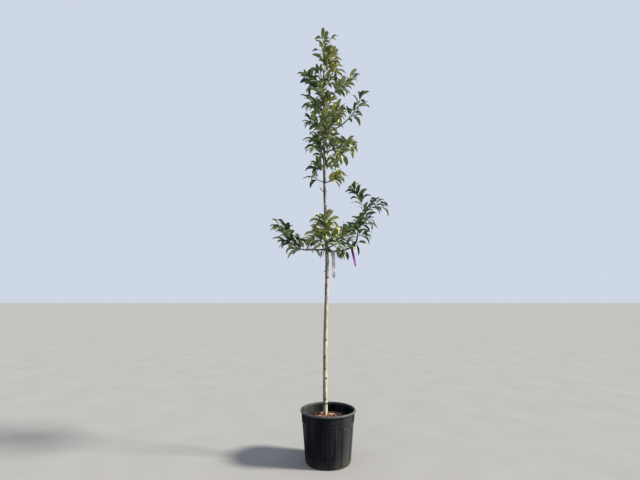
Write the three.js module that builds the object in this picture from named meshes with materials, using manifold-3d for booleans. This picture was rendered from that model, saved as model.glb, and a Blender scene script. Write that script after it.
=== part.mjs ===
// A container-grown sapling: one straight stem about three metres tall with short leafy
// side growth, standing in a ribbed black nursery pot filled by its root ball.
// Millimetres, +Z up, +Y away from the viewer. The origin is the centre of the pot's underside.

import * as THREE from 'three';
import { mergeVertices } from 'three/addons/utils/BufferGeometryUtils.js';
import Module from 'manifold-3d';

const wasm = await Module();
wasm.setup();

const CLEARANCE = 0.3;              // gap between neighbouring pieces
const DEGREE = Math.PI / 180;

// Pot, a 35 litre container
const POT_HEIGHT = 350;
const POT_BASE_RADIUS = 158;
const POT_WALL = 3;
const POT_FLOOR = 3;
const COLLAR_FOOT = 262;            // height where the proud band under the rim starts
const COLLAR_FOOT_RADIUS = 182;
const COLLAR_STEP = 4;              // how far the band stands out
const LIP_HEIGHT = 16;
const LIP_RADIUS = 200;
const WALL_TOP_RADIUS = 188;        // wall under the lip
const PANELS = 12;                  // raised panels round the wall
const PANEL_RELIEF = 2.8;
const PANEL_FOOT = 14;
const PANEL_TURN = 2.5;             // first panel's edge, degrees from the front
const PANEL_EDGE = 0.7;             // width of a panel's sloping edge, degrees
const DRAIN_HOLES = 4;
const DRAIN_RADIUS = 8;
const DRAIN_CIRCLE = 125;

// Root ball and the bark chips on it
const SOIL_EDGE = 286;              // soil height at the wall
const SOIL_TOP = 296;               // flat soil round the stem
const SOIL_FLAT_RADIUS = 95;
const CHIP_BED_RADIUS = 82;
const CHIP_BED_DEPTH = 11;
const CHIPS = 11;

// Stem
const TRUNK_TOP = 3090;             // where the leafy leader takes over
const TREE_TOP = 3386;
const TRUNK_FOOT_X = -20;
const TRUNK_LEAN_X = -8;            // sideways lean over the whole height
const TRUNK_RADIUS = 16.2;
const TRUNK_TAPER = 0.85;
const TAPER_POWER = 1.6;
const FLARE = 3;                    // extra radius at the soil
const FLARE_HEIGHT = 22;
const FLARE_TOP = 90;               // height of the closer rings above the soil
const TRUNK_RINGS = 24;
const BOW_RIGHT = 19;               // the stem bows to the right at mid height
const BOW_HEIGHT = 1400;
const BOW_REACH = 450;
const BOW_BACK = 7;

// Leaves
const LEAF_LENGTH = 110;
const LEAF_WIDTH = 0.36;            // of its length
const LEAF_FOLD = 0.15;             // how far the edges stand up from the keel, of the width
const LEAF_THICKNESS = 0.022;       // of its length
const LEAF_SPREAD = 52;             // angle between a shoot and its leaf, degrees
const LEAF_DROOP = 60;              // how far a leaf bends down over its length, degrees
const LEAF_LIFT = 0.33;             // how much a leaf's start turns up to the light
const LEAF_ROLL = 150;              // how far a leaf's face turns about it, degrees
const LEAF_FACING = 60;             // how steeply its face looks up, degrees
const LEAF_TURN = 137.5;            // degrees round the shoot from leaf to leaf
const LEAF_TRIES = [0, 48, -48, 96, -96, 180];   // turns tried where a leaf's place is taken
const BLADE_START = 14;             // a blade may meet its own twig only this close to its root

// Twigs of a mass of foliage
const TWIG_STEP = 34;               // length of a straight piece
const TWIG_TIP_RADIUS = 1.6;
const FORK_THINNER = 0.62;          // a side shoot's radius, of its stem's

const BARK = { color: 0x8a7f63, roughness: 0.85, metalness: 0 };
const YOUNG_BARK = { color: 0x6f6a4c, roughness: 0.8, metalness: 0 };
const LEAF_GREEN = { color: 0x4c6b2a, roughness: 0.5, metalness: 0 };

// A limb is given by its height on the stem, its azimuth (0 right, 90 back, 180 left), how
// steeply it rises along its bare length (bough) and its leafy length (shoot), and its side
// shoots (forks): place along the leafy length, azimuth, rise at both ends, length.
const LIMBS = [
  { name: 'low_left', height: 1512, azimuth: 181, turn: -3, bough: { rise: [-4, 0], length: 150 },
    shoot: { rise: [0, 92], length: 282, internode: 17 }, radius: 6.5, seed: 11,
    forks: [[0.04, 20, 62, 70, 62], [0.06, -30, 20, 10, 48], [0.12, 205, 0, -25, 56],
      [0.22, 168, 70, 62, 66], [0.36, 215, 25, -10, 66], [0.5, 176, 30, 12, 62],
      [0.66, 150, 62, 70, 60], [0.97, 180, 22, -8, 56]] },
  { name: 'low_right', height: 1500, azimuth: -2, turn: 0, bough: { rise: [-10, 28], length: 200 },
    bend: { rise: [28, 86], length: 80 },
    shoot: { rise: [86, 58], length: 242, internode: 17 }, radius: 7.5, seed: 22,
    forks: [[0.04, 172, 12, 30, 66], [0.08, -10, 15, -15, 50], [0.24, 200, 30, 20, 60],
      [0.42, -20, 20, -5, 56], [0.62, -40, 10, -20, 56], [0.98, 180, 56, 70, 190],
      [0.98, -6, 40, -16, 122]] },
  { name: 'low_front', height: 1478, azimuth: -96, turn: 4, bough: { rise: [12, 38], length: 105 },
    shoot: { rise: [38, 86], length: 225, internode: 18 }, radius: 7, seed: 33,
    forks: [[0.04, -95, 0, -60, 74], [0.06, 192, 12, 20, 88], [0.14, -34, 5, 20, 84],
      [0.3, 172, 30, 45, 76], [0.4, -60, 10, 10, 60], [0.5, -12, 30, 30, 50],
      [0.7, 190, 50, 20, 50], [0.82, 0, 30, 10, 44]] },
  { name: 'low_front_right', height: 1522, azimuth: -38, turn: 8, bough: { rise: [8, 22], length: 72 },
    shoot: { rise: [22, 74], length: 140, internode: 16 }, radius: 5.5, seed: 44,
    forks: [[0.1, -12, -20, -50, 84], [0.3, -80, -20, -50, 60], [0.5, 20, 20, 0, 50]] },
  { name: 'low_back', height: 1556, azimuth: 97, turn: -8, bough: { rise: [14, 34], length: 140 },
    shoot: { rise: [34, 82], length: 205, internode: 18 }, radius: 6.5, seed: 55,
    forks: [[0.08, 172, 15, 36, 90], [0.2, 22, 10, 20, 80], [0.5, 130, 40, 50, 60]] },
  { name: 'thin_left', height: 2050, azimuth: 178, turn: 0, bough: { rise: [14, 22], length: 46 },
    shoot: { rise: [22, 74], length: 56, internode: 13 }, radius: 3.6, seed: 66, forks: [] },
  { name: 'mid_right', height: 2292, azimuth: -6, turn: 4, bough: { rise: [30, 18], length: 62 },
    shoot: { rise: [18, 20], length: 148, internode: 15 }, radius: 6, seed: 88,
    forks: [[0.12, -60, -50, -80, 76], [0.06, 4, 66, 72, 66], [0.3, -40, -45, -80, 96],
      [0.48, 36, 30, 40, 60], [0.5, -60, -15, -60, 76], [0.8, -30, -20, -50, 56],
      [0.86, 10, 20, 10, 40]] },
  { name: 'long_right', height: 2474, azimuth: -1, turn: 0, bough: { rise: [8, 44], length: 196 },
    shoot: { rise: [44, 74], length: 262, internode: 24 }, radius: 6, seed: 110,
    forks: [[0.28, 12, 15, -10, 40], [0.6, -8, 30, 0, 40]] },
  { name: 'upper_left', height: 2770, azimuth: 181, turn: 0, bough: { rise: [58, 48], length: 66 },
    shoot: { rise: [48, 58], length: 180, internode: 19 }, radius: 4.6, seed: 121,
    forks: [[0.1, 165, 66, 40, 92]] },
  { name: 'upper_right', height: 2764, azimuth: 1, turn: 0, bough: { rise: [44, 28], length: 74 },
    shoot: { rise: [28, 50], length: 240, internode: 18 }, radius: 4.6, seed: 132,
    forks: [[0.12, 30, 50, 60, 60], [0.3, -38, 10, 0, 52]] },
];

// Side growth that is leafy from the stem on, written in the same way
const SPURS = [
  { name: 'spur_right', height: 2046, azimuth: -8, shoot: { rise: [4, 46], length: 122, internode: 9 },
    radius: 5, seed: 77, forks: [] },
  { name: 'spur_left', height: 2146, azimuth: 182, shoot: { rise: [12, 46], length: 66, internode: 11 },
    radius: 4.5, seed: 78, forks: [[0.5, 205, -10, -50, 40]] },
  { name: 'mid_back', height: 2190, azimuth: 70, shoot: { rise: [10, 44], length: 112, internode: 14 },
    radius: 4.5, seed: 211, forks: [[0.3, 20, 0, -30, 40]] },
  { name: 'mid_left', height: 2316, azimuth: 178, shoot: { rise: [40, 56], length: 116, internode: 14 },
    radius: 5, seed: 99, forks: [[0.4, 196, 5, -15, 48]] },
  { name: 'crown_left', height: 2476, azimuth: 184, shoot: { rise: [34, 38], length: 132, internode: 15 },
    radius: 5, seed: 154, forks: [[0.4, 160, 40, 60, 50]] },
  { name: 'crown_left_top', height: 2664, azimuth: 178, shoot: { rise: [34, 42], length: 145, internode: 17 },
    radius: 4.6, seed: 155, forks: [[0.4, 215, 5, -10, 56]] },
  { name: 'crown_right', height: 2592, azimuth: -4, shoot: { rise: [22, 40], length: 146, internode: 15 },
    radius: 4.6, seed: 156, forks: [[0.3, -30, 0, -30, 74], [0.5, 30, 20, 10, 56]] },
  { name: 'crown_back', height: 2400, azimuth: 84, shoot: { rise: [18, 64], length: 232, internode: 16 },
    radius: 5, seed: 165, forks: [[0.3, 140, 30, 40, 66], [0.5, 30, 30, 40, 60]] },
  { name: 'crown_front', height: 2410, azimuth: -82, shoot: { rise: [18, 64], length: 212, internode: 16 },
    radius: 5, seed: 176, forks: [[0.3, -140, 20, 35, 64], [0.45, -20, 20, 40, 60]] },
  { name: 'crown_back_top', height: 2650, azimuth: 112, shoot: { rise: [22, 60], length: 192, internode: 16 },
    radius: 4.4, seed: 187, forks: [[0.4, 60, 25, 30, 56]] },
  { name: 'crown_front_top', height: 2690, azimuth: -104,
    shoot: { rise: [20, 60], length: 176, internode: 16 }, radius: 4.2, seed: 198,
    forks: [[0.4, -40, 20, 30, 52]] },
  { name: 'top_right', height: 3000, azimuth: -10, shoot: { rise: [46, 78], length: 176, internode: 12 },
    radius: 3.8, seed: 143,
    forks: [[0.12, -50, 0, -60, 60], [0.3, -10, -10, -60, 80], [0.5, 30, 20, -30, 52]] },
];
const LEADER_LENGTH = 238;          // the leafy tip that carries the stem on

// Short leafy twigs that fill the crown between them, wound up the stem
const TWIGS = 12;
const TWIG_LOWEST = 2230;
const TWIG_HIGHEST = 3030;
const TWIG_FIRST_AZIMUTH = 230;
const TWIG_LENGTH = 90;
const TWIG_SHORTER = 24;            // how much shorter the top ones are
const TWIG_SWINGS = [0, 30, -30, 60, -60, 90, -90];

// Pruned stubs of old side shoots: height, azimuth, rise, length from the stem's middle
const STUBS = [[1962, 176, 40, 62], [1958, -4, 30, 28], [1336, 168, 10, 27]];

// Bands tied on the low right bough: a pale label strip and a coloured ribbon, both blank
const TIE_THICKNESS = 1.2;
const TIE_SLACK = 1.6;
const LABEL = { along: 49, width: 25, slant: 0.02, tail: [[0, -30], [3, -90], [-2, -160], [6, -208]] };
const RIBBON = { along: 195, width: 18, slant: 0.2, tail: [[0, -30], [-2, -80], [2, -152]] };

// A seeded row of numbers between 0 and 1
function dice(seed) {
  let state = seed * 7919 + 13;
  return () => {
    state = (state * 16807) % 2147483647;
    return state / 2147483647;
  };
}

function direction(azimuth, rise) {
  const flat = Math.cos(rise * DEGREE);
  return new THREE.Vector3(
    flat * Math.cos(azimuth * DEGREE), flat * Math.sin(azimuth * DEGREE), Math.sin(rise * DEGREE));
}

function trunkAt(z) {
  const share = (z - SOIL_TOP) / (TREE_TOP - SOIL_TOP);
  const bow = Math.exp(-(((z - BOW_HEIGHT) / BOW_REACH) ** 2));
  return new THREE.Vector3(TRUNK_FOOT_X + TRUNK_LEAN_X * share + BOW_RIGHT * bow, BOW_BACK * bow, z);
}

function trunkRadius(z) {
  const share = Math.max(0, (z - SOIL_TOP) / (TREE_TOP - SOIL_TOP));
  const flare = FLARE * Math.exp(-(z - SOIL_TOP) / FLARE_HEIGHT);
  return TRUNK_RADIUS * (1 - TRUNK_TAPER * share ** TAPER_POWER) + flare;
}

// The line of a limb, as points with the way that each one faces: its rise goes evenly from
// one end's to the other's
function growLine(start, azimuth, turn, rise, length, steps) {
  const wayAt = (share) => direction(azimuth + turn * share, rise[0] + (rise[1] - rise[0]) * share);
  const line = [{ point: start.clone(), way: wayAt(0) }];
  for (let step = 0; step < steps; step += 1) {
    const point = line[step].point.clone().addScaledVector(wayAt((step + 0.5) / steps), length / steps);
    line.push({ point, way: wayAt((step + 1) / steps) });
  }
  return line;
}

function toSolid(geometry) {
  geometry.deleteAttribute('normal');
  geometry.deleteAttribute('uv');
  const welded = mergeVertices(geometry, 1e-4);
  return new wasm.Manifold(new wasm.Mesh({
    numProp: 3,
    vertProperties: new Float32Array(welded.attributes.position.array),
    triVerts: new Uint32Array(welded.index.array),
  }));
}

// The body of a solid without the loose scraps and sealed hollows that joining can leave
function mainBody(solid) {
  const bodies = solid.decompose();
  return bodies.reduce((largest, body) => (body.volume() > largest.volume() ? body : largest));
}

function toGeometry(solid) {
  const mesh = solid.getMesh();
  const geometry = new THREE.BufferGeometry();
  geometry.setAttribute('position', new THREE.BufferAttribute(new Float32Array(mesh.vertProperties), 3));
  geometry.setIndex(new THREE.BufferAttribute(new Uint32Array(mesh.triVerts), 1));
  return geometry;
}

// A round tapering limb: a cylinder whose rings are moved on to the line
function limbSolid(line, radiusAt, sides) {
  const rings = line.length - 1;
  const geometry = new THREE.CylinderGeometry(1, 1, 1, sides, rings);
  const place = geometry.attributes.position;
  let across = Math.abs(line[0].way.y) > 0.8 ? new THREE.Vector3(1, 0, 0) : new THREE.Vector3(0, 1, 0);
  const frames = line.map(({ way }) => {
    across = across.clone().addScaledVector(way, -across.dot(way)).normalize();
    return { across, third: new THREE.Vector3().crossVectors(across, way) };
  });
  for (let index = 0; index < place.count; index += 1) {
    const ring = Math.round((place.getY(index) + 0.5) * rings);
    const radius = radiusAt(ring / rings, line[ring].point);
    const point = line[ring].point.clone()
      .addScaledVector(frames[ring].across, place.getX(index) * radius)
      .addScaledVector(frames[ring].third, place.getZ(index) * radius);
    place.setXYZ(index, point.x, point.y, point.z);
  }
  return toSolid(geometry);
}

// A leaf: an octahedron drawn out to a folded, drooping blade of eight faces
function leafSolid(leaf, margin = 0) {
  const geometry = mergeVertices(new THREE.OctahedronGeometry(1, 0).deleteAttribute('normal')
    .deleteAttribute('uv'));
  const place = geometry.attributes.position;
  const half = leaf.length / 2 + margin;
  const middle = leaf.root.clone().addScaledVector(leaf.out, half);
  const tip = middle.clone().addScaledVector(leaf.down, half);
  const along = leaf.out.clone().add(leaf.down).normalize();
  const sideways = new THREE.Vector3().crossVectors(along, leaf.upward).normalize();
  const normal = new THREE.Vector3().crossVectors(sideways, along);
  const width = leaf.length * LEAF_WIDTH / 2 + margin;
  const thickness = leaf.length * LEAF_THICKNESS / 2 + margin;
  for (let index = 0; index < place.count; index += 1) {
    const side = place.getX(index);
    let point = middle.clone();
    if (place.getY(index) < -0.5) {
      point = leaf.root.clone();
    }
    if (place.getY(index) > 0.5) {
      point = tip.clone();
    }
    point.addScaledVector(sideways, side * width);
    point.addScaledVector(normal, place.getZ(index) * thickness
      + Math.abs(side) * leaf.length * LEAF_WIDTH * LEAF_FOLD);
    place.setXYZ(index, point.x, point.y, point.z);
  }
  return toSolid(geometry);
}

// The places for leaves along a shoot, each turned on round it from the last
function leafPlaces(line, shoot, random) {
  const rings = line.length - 1;
  const count = Math.max(1, Math.floor(shoot.length * (1 - shoot.bareShare) / shoot.internode));
  const places = [];
  for (let index = 0; index <= count; index += 1) {
    const share = shoot.bareShare + (1 - shoot.bareShare) * index / count;
    const ring = Math.min(rings - 1, Math.floor(share * rings));
    places.push({
      root: line[ring].point.clone().lerp(line[ring + 1].point, share * rings - ring),
      along: line[ring].way,
      turn: shoot.firstTurn + index * LEAF_TURN + 40 * (random() - 0.5),
      spread: LEAF_SPREAD * (1 - 0.45 * share) + 16 * (random() - 0.5),
      droop: LEAF_DROOP * (0.65 + 0.7 * random()),
      roll: LEAF_ROLL * (random() - 0.5),
      length: LEAF_LENGTH * (0.78 + 0.36 * random()) * (share > 0.9 ? 0.72 : 1),
    });
  }
  return places;
}

// A leaf at its place: it leaves the shoot at an angle and bends over under its weight
function growLeaf(place, extraTurn) {
  const side = new THREE.Vector3().crossVectors(place.along, new THREE.Vector3(0, 1, 0.2)).normalize();
  const lift = new THREE.Vector3().crossVectors(side, place.along);
  const angle = (place.turn + extraTurn) * DEGREE;
  const spread = place.spread * DEGREE;
  const out = place.along.clone().multiplyScalar(Math.cos(spread))
    .addScaledVector(side, Math.cos(angle) * Math.sin(spread))
    .addScaledVector(lift, Math.sin(angle) * Math.sin(spread));
  out.z += LEAF_LIFT;
  out.normalize();
  const fall = Math.max(-82, Math.asin(out.z) / DEGREE - place.droop);
  const azimuth = Math.atan2(out.y, out.x) / DEGREE;
  return {
    root: place.root,
    out,
    down: direction(azimuth, fall),
    upward: direction(azimuth + place.roll, LEAF_FACING),
    length: place.length,
  };
}

const trunkHeights = [0, 8, 20, 44].map((rise) => SOIL_TOP + CLEARANCE + rise);
for (let ring = 0; ring <= TRUNK_RINGS; ring += 1) {
  const foot = SOIL_TOP + FLARE_TOP;
  trunkHeights.push(foot + (TRUNK_TOP - foot) * ring / TRUNK_RINGS);
}
const UPRIGHT = new THREE.Vector3(0, 0, 1);
const trunkLine = trunkHeights.map((height) => ({ point: trunkAt(height), way: UPRIGHT }));
const trunk = limbSolid(trunkLine, (share, point) => trunkRadius(point.z), 10);
const trunkRoom = limbSolid(trunkLine, (share, point) => trunkRadius(point.z) + CLEARANCE * 1.2, 10);
const trunkCut = limbSolid(trunkLine, (share, point) => trunkRadius(point.z) + CLEARANCE * 1.8, 10);

// Everything that stands already, each with the room that others leave it
const standing = [];

function boxesMeet(a, b) {
  return [0, 1, 2].every((axis) => a.min[axis] <= b.max[axis] && b.min[axis] <= a.max[axis]);
}

function touchesOthers(solid, owner) {
  const box = solid.boundingBox();
  return standing.some((piece) => piece.owner !== owner && boxesMeet(box, piece.box)
    && !solid.intersect(piece.solid).isEmpty());
}

function stand(solid, owner) {
  standing.push({ solid, owner, box: solid.boundingBox() });
}

const tree = new THREE.Group();

function addPiece(name, geometry, look) {
  const mesh = new THREE.Mesh(geometry, new THREE.MeshStandardMaterial(look));
  mesh.name = name;
  tree.add(mesh);
}

// The twigs of a mass of foliage: one stem, cut clear of the trunk where it starts there, and
// its side shoots. A side shoot whose place is taken is left out.
function plantTwigs({ name, start, azimuth, shoot, radius, forks, seed }) {
  const thickness = (at) => radius + (TWIG_TIP_RADIUS - radius) * at;
  const steps = Math.max(3, Math.round(shoot.length / TWIG_STEP));
  const line = growLine(start, azimuth, 0, shoot.rise, shoot.length, steps);
  const fromTrunk = start.distanceTo(trunkAt(start.z)) < 1;
  const stem = limbSolid(line, thickness, 3);
  const clear = fromTrunk ? mainBody(stem.subtract(trunkCut)) : stem;
  if (touchesOthers(clear, name)) {
    return null;
  }
  const mass = {
    name,
    random: dice(seed),
    twigs: [clear],
    runs: [[line, { bareShare: fromTrunk ? 0.25 : 0.1, firstTurn: seed * 50, ...shoot }]],
  };
  forks.forEach(([at, forkAzimuth, riseFrom, riseTo, length], index) => {
    const ring = Math.min(steps - 1, Math.floor(at * steps));
    const base = line[ring].point.clone().lerp(line[ring + 1].point, at * steps - ring);
    const forkSteps = Math.max(2, Math.round(length / TWIG_STEP));
    const forkLine = growLine(base, forkAzimuth, 0, [riseFrom, riseTo], length, forkSteps);
    const thick = Math.max(2, thickness(at) * FORK_THINNER);
    const fork = limbSolid(forkLine, (share) => thick + (TWIG_TIP_RADIUS - thick) * share, 3);
    if (!touchesOthers(fork, name)) {
      mass.twigs.push(fork);
      const firstTurn = seed * 31 + index * 77;
      mass.runs.push([forkLine, { length, internode: shoot.internode, bareShare: 0.25, firstTurn }]);
    }
  });
  mass.twigs.forEach((twig) => stand(twig, name));
  return mass;
}

// The leaves of a mass, joined to its twigs as one body. A leaf that would touch anything
// else is turned round the twig, or left out.
function leafOut({ name, random, twigs, runs }) {
  let body = twigs.reduce((whole, twig) => whole.add(twig));
  const blades = [...twigs];
  runs.forEach(([run, rule]) => {
    leafPlaces(run, rule, random).forEach((place) => {
      const fits = LEAF_TRIES.map((extraTurn) => growLeaf(place, extraTurn)).find((leaf) => {
        const blade = { ...leaf, root: leaf.root.clone().addScaledVector(leaf.out, BLADE_START) };
        const solid = leafSolid(blade, 0.6);
        return !touchesOthers(leafSolid(leaf, 0.6), name)
          && blades.every((other) => solid.intersect(other).isEmpty());
      });
      if (fits) {
        const leaf = leafSolid(fits);
        blades.push(leaf);
        stand(leafSolid(fits, 0.2), name);
        body = body.add(leaf);
      }
    });
  });
  addPiece(name, toGeometry(mainBody(body.simplify(0.3))), LEAF_GREEN);
}

function buildPot() {
  const wallAt = (z) => POT_BASE_RADIUS + (COLLAR_FOOT_RADIUS - POT_BASE_RADIUS) * z / COLLAR_FOOT;
  const panelTop = COLLAR_FOOT - 6;
  const profile = [[0, 0],
    [POT_BASE_RADIUS, 0],
    [wallAt(PANEL_FOOT) - PANEL_RELIEF / 2, PANEL_FOOT],
    [wallAt(panelTop) - PANEL_RELIEF / 2, panelTop],
    [COLLAR_FOOT_RADIUS + COLLAR_STEP, COLLAR_FOOT],
    [WALL_TOP_RADIUS + COLLAR_STEP, POT_HEIGHT - LIP_HEIGHT],
    [LIP_RADIUS, POT_HEIGHT - LIP_HEIGHT + 2],
    [LIP_RADIUS - 2, POT_HEIGHT],
    [WALL_TOP_RADIUS, POT_HEIGHT],
    [COLLAR_FOOT_RADIUS - POT_WALL, COLLAR_FOOT],
    [POT_BASE_RADIUS - POT_WALL, POT_FLOOR],
    [0, POT_FLOOR]].map(([radius, z]) => new THREE.Vector2(radius, z));
  const panelRows = [2, 3];
  const geometry = new THREE.LatheGeometry(profile, PANELS * 6);
  const place = geometry.attributes.position;
  const panelAngle = 180 / PANELS;
  const steps = [0, panelAngle / 2, panelAngle, panelAngle + PANEL_EDGE, panelAngle * 1.5,
    2 * panelAngle - PANEL_EDGE];
  for (let index = 0; index < place.count; index += 1) {
    const row = index % profile.length;
    const spoke = Math.floor(index / profile.length);
    const raised = spoke % 6 < 3 && panelRows.includes(row);
    const angle = (PANEL_TURN + 2 * panelAngle * Math.floor(spoke / 6) + steps[spoke % 6]) * DEGREE;
    const radius = profile[row].x + (raised ? PANEL_RELIEF : 0);
    place.setXYZ(index, radius * Math.sin(angle), -radius * Math.cos(angle), profile[row].y);
  }
  let pot = toSolid(geometry);
  for (let hole = 0; hole < DRAIN_HOLES; hole += 1) {
    const angle = 2 * Math.PI * hole / DRAIN_HOLES;
    const drill = new THREE.CylinderGeometry(DRAIN_RADIUS, DRAIN_RADIUS, 4 * POT_FLOOR, 6)
      .rotateX(Math.PI / 2)
      .translate(DRAIN_CIRCLE * Math.cos(angle), DRAIN_CIRCLE * Math.sin(angle), POT_FLOOR / 2);
    pot = pot.subtract(toSolid(drill));
  }
  return pot;
}

function buildRootBall() {
  const gap = 1.4;
  const wallAt = (z) => POT_BASE_RADIUS - POT_WALL - gap
    + (COLLAR_FOOT_RADIUS - POT_BASE_RADIUS) * (z - POT_FLOOR) / (COLLAR_FOOT - POT_FLOOR);
  const profile = [[0, POT_FLOOR + CLEARANCE], [wallAt(POT_FLOOR), POT_FLOOR + CLEARANCE],
    [wallAt(COLLAR_FOOT), COLLAR_FOOT], [wallAt(COLLAR_FOOT) + 1, SOIL_EDGE - 4],
    [wallAt(COLLAR_FOOT) - 5, SOIL_EDGE], [140, SOIL_EDGE + 5], [SOIL_FLAT_RADIUS, SOIL_TOP],
    [0, SOIL_TOP]];
  return new THREE.LatheGeometry(profile.map(([radius, z]) => new THREE.Vector2(radius, z)), 24)
    .rotateX(Math.PI / 2);
}

function buildChips() {
  const random = dice(5);
  const low = SOIL_TOP + CLEARANCE;
  const inner = 12;
  const profile = [[inner, low], [CHIP_BED_RADIUS, low], [CHIP_BED_RADIUS - 14, low + CHIP_BED_DEPTH],
    [inner, low + CHIP_BED_DEPTH + 5], [inner, low]];
  const bed = new THREE.LatheGeometry(profile.map(([radius, z]) => new THREE.Vector2(radius, z)), 14)
    .rotateX(Math.PI / 2);
  let heap = toSolid(bed.translate(TRUNK_FOOT_X, 0, 0));
  for (let chip = 0; chip < CHIPS; chip += 1) {
    const angle = chip * LEAF_TURN * DEGREE;
    const away = 32 + (CHIP_BED_RADIUS - 48) * Math.sqrt((chip + 0.5) / CHIPS);
    const board = new THREE.BoxGeometry(26 + 22 * random(), 11 + 8 * random(), 4 + 2 * random())
      .rotateX(0.9 * (random() - 0.5))
      .rotateY(0.7 * (random() - 0.5))
      .rotateZ(Math.PI * random())
      .translate(TRUNK_FOOT_X + away * Math.cos(angle), away * Math.sin(angle), low + CHIP_BED_DEPTH + 2);
    heap = heap.add(toSolid(board));
  }
  const soilRoom = toSolid(new THREE.BoxGeometry(400, 400, 40).translate(0, 0, low - 20));
  const buried = { point: trunkAt(low - 9), way: UPRIGHT };
  const foot = limbSolid([buried, ...trunkLine], (share, point) => trunkRadius(point.z) + CLEARANCE, 10);
  return mainBody(heap.subtract(soilRoom).subtract(foot));
}

// A band tied round a bough, its tail hanging down in front. The tail's outline is seen from
// the side, as sway and drop, and a slant carries it along the bough as it falls.
function buildTie({ along, width, tail, slant }) {
  const limb = LIMBS.find(({ name }) => name === 'low_right');
  const { bough, radius } = limb;
  const share = along / bough.length;
  const line = growLine(trunkAt(limb.height), limb.azimuth, limb.turn,
    [bough.rise[0], bough.rise[0] + (bough.rise[1] - bough.rise[0]) * share], along, 6);
  const { point, way } = line[6];
  const inner = radius * (1 - 0.2 * share) + TIE_SLACK;
  const outer = inner + TIE_THICKNESS;
  const ring = new THREE.Shape();
  ring.absarc(0, 0, outer, 0, 2 * Math.PI, false);
  const eye = new THREE.Path();
  eye.absarc(0, 0, inner, 0, 2 * Math.PI, true);
  ring.holes.push(eye);
  const across = new THREE.Vector3(0, 1, 0).addScaledVector(way, -way.y).normalize();
  const turned = new THREE.Matrix4().makeBasis(across, new THREE.Vector3().crossVectors(way, across), way);
  const loop = new THREE.ExtrudeGeometry(ring, { depth: width, bevelEnabled: false, curveSegments: 7 })
    .translate(0, 0, -width / 2).applyMatrix4(turned).translate(point.x, point.y, point.z);
  const front = -outer + TIE_THICKNESS / 2;
  const half = TIE_THICKNESS / 2;
  const edge = [[0, 2], ...tail];
  const strip = new THREE.Shape([
    ...edge.map(([sway, drop]) => new THREE.Vector2(front + sway - half, drop)),
    ...[...edge].reverse().map(([sway, drop]) => new THREE.Vector2(front + sway + half, drop)),
  ]);
  const hung = new THREE.ExtrudeGeometry(strip, { depth: width, bevelEnabled: false })
    .translate(0, 0, -width / 2);
  const place = hung.attributes.position;
  for (let index = 0; index < place.count; index += 1) {
    place.setXYZ(index, point.x + place.getZ(index) - slant * Math.min(0, place.getY(index)),
      point.y + place.getX(index), point.z + place.getY(index));
  }
  return mainBody(toSolid(loop).add(toSolid(hung)));
}

addPiece('pot', toGeometry(buildPot()), { color: 0x23211f, roughness: 0.55, metalness: 0 });
addPiece('root_ball', buildRootBall(), { color: 0x3a2a1d, roughness: 1, metalness: 0 });
addPiece('bark_chips', toGeometry(buildChips()), { color: 0x6b4630, roughness: 0.95, metalness: 0 });
addPiece('trunk', toGeometry(trunk), BARK);
stand(trunkRoom, 'trunk');

STUBS.forEach(([height, azimuth, rise, length], index) => {
  const name = `pruned_stub_${index + 1}`;
  const line = growLine(trunkAt(height), azimuth, 0, [rise, rise + 20], length, 3);
  const stub = mainBody(limbSolid(line, (share) => 3.4 - share, 5).subtract(trunkRoom));
  stand(stub, name);
  addPiece(name, toGeometry(stub), BARK);
});

// All limbs and twigs stand before any leaf, so that the leaves keep clear of them
const masses = [];
LIMBS.forEach((limb) => {
  const pieces = limb.bend ? [limb.bough, limb.bend] : [limb.bough];
  let start = trunkAt(limb.height);
  let azimuth = limb.azimuth;
  let radius = limb.radius;
  pieces.forEach((piece, index) => {
    const steps = Math.max(3, Math.round(piece.length / 22));
    const line = growLine(start, azimuth, limb.turn, piece.rise, piece.length, steps);
    const endRadius = radius * 0.8;
    const from = radius;
    let solid = limbSolid(line, (share) => from + (endRadius - from) * share, 6);
    if (index === 0) {
      solid = mainBody(solid.subtract(trunkCut));
    }
    const name = `bough_${limb.name}${index ? '_bend' : ''}`;
    stand(solid, name);
    addPiece(name, toGeometry(solid), YOUNG_BARK);
    azimuth += limb.turn;
    radius = endRadius;
    start = line[steps].point.clone().addScaledVector(line[steps].way, CLEARANCE * 1.3);
  });
  masses.push({ ...limb, start, azimuth, radius });
});

[['label_strip', LABEL, 0xc9ccc8], ['ribbon', RIBBON, 0x9c2a86]].forEach(([name, tie, color]) => {
  const solid = buildTie(tie);
  stand(solid, name);
  addPiece(name, toGeometry(solid), { color, roughness: 0.5, metalness: 0 });
});

masses.push({
  name: 'leader',
  start: trunkAt(TRUNK_TOP + CLEARANCE * 1.3),
  azimuth: 180,
  shoot: { rise: [88.5, 88.5], length: LEADER_LENGTH, internode: 19, bareShare: 0.05 },
  radius: trunkRadius(TRUNK_TOP),
  forks: [[0.45, 186, 30, 0, 34], [0.86, 6, 30, 0, 34]],
  seed: 7,
});
SPURS.forEach((spur) => masses.push({ ...spur, start: trunkAt(spur.height) }));
const planted = masses.map((mass) => plantTwigs({ ...mass, name: `foliage_${mass.name}` }));

// A twig whose place is taken swings round the stem to the next free one
for (let twig = 0; twig < TWIGS; twig += 1) {
  const share = twig / (TWIGS - 1);
  const height = TWIG_LOWEST + (TWIG_HIGHEST - TWIG_LOWEST) * share;
  const azimuth = TWIG_FIRST_AZIMUTH + twig * LEAF_TURN;
  planted.push(TWIG_SWINGS.reduce((done, swing) => done || plantTwigs({
    name: `foliage_twig_${twig + 1}`,
    start: trunkAt(height),
    azimuth: azimuth + swing,
    shoot: { rise: [30, 62], length: TWIG_LENGTH - TWIG_SHORTER * share, internode: 12, bareShare: 0.3 },
    radius: 3.4,
    forks: [],
    seed: 300 + twig,
  }), null));
}

planted.filter((mass) => mass).forEach(leafOut);

export default tree;
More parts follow.
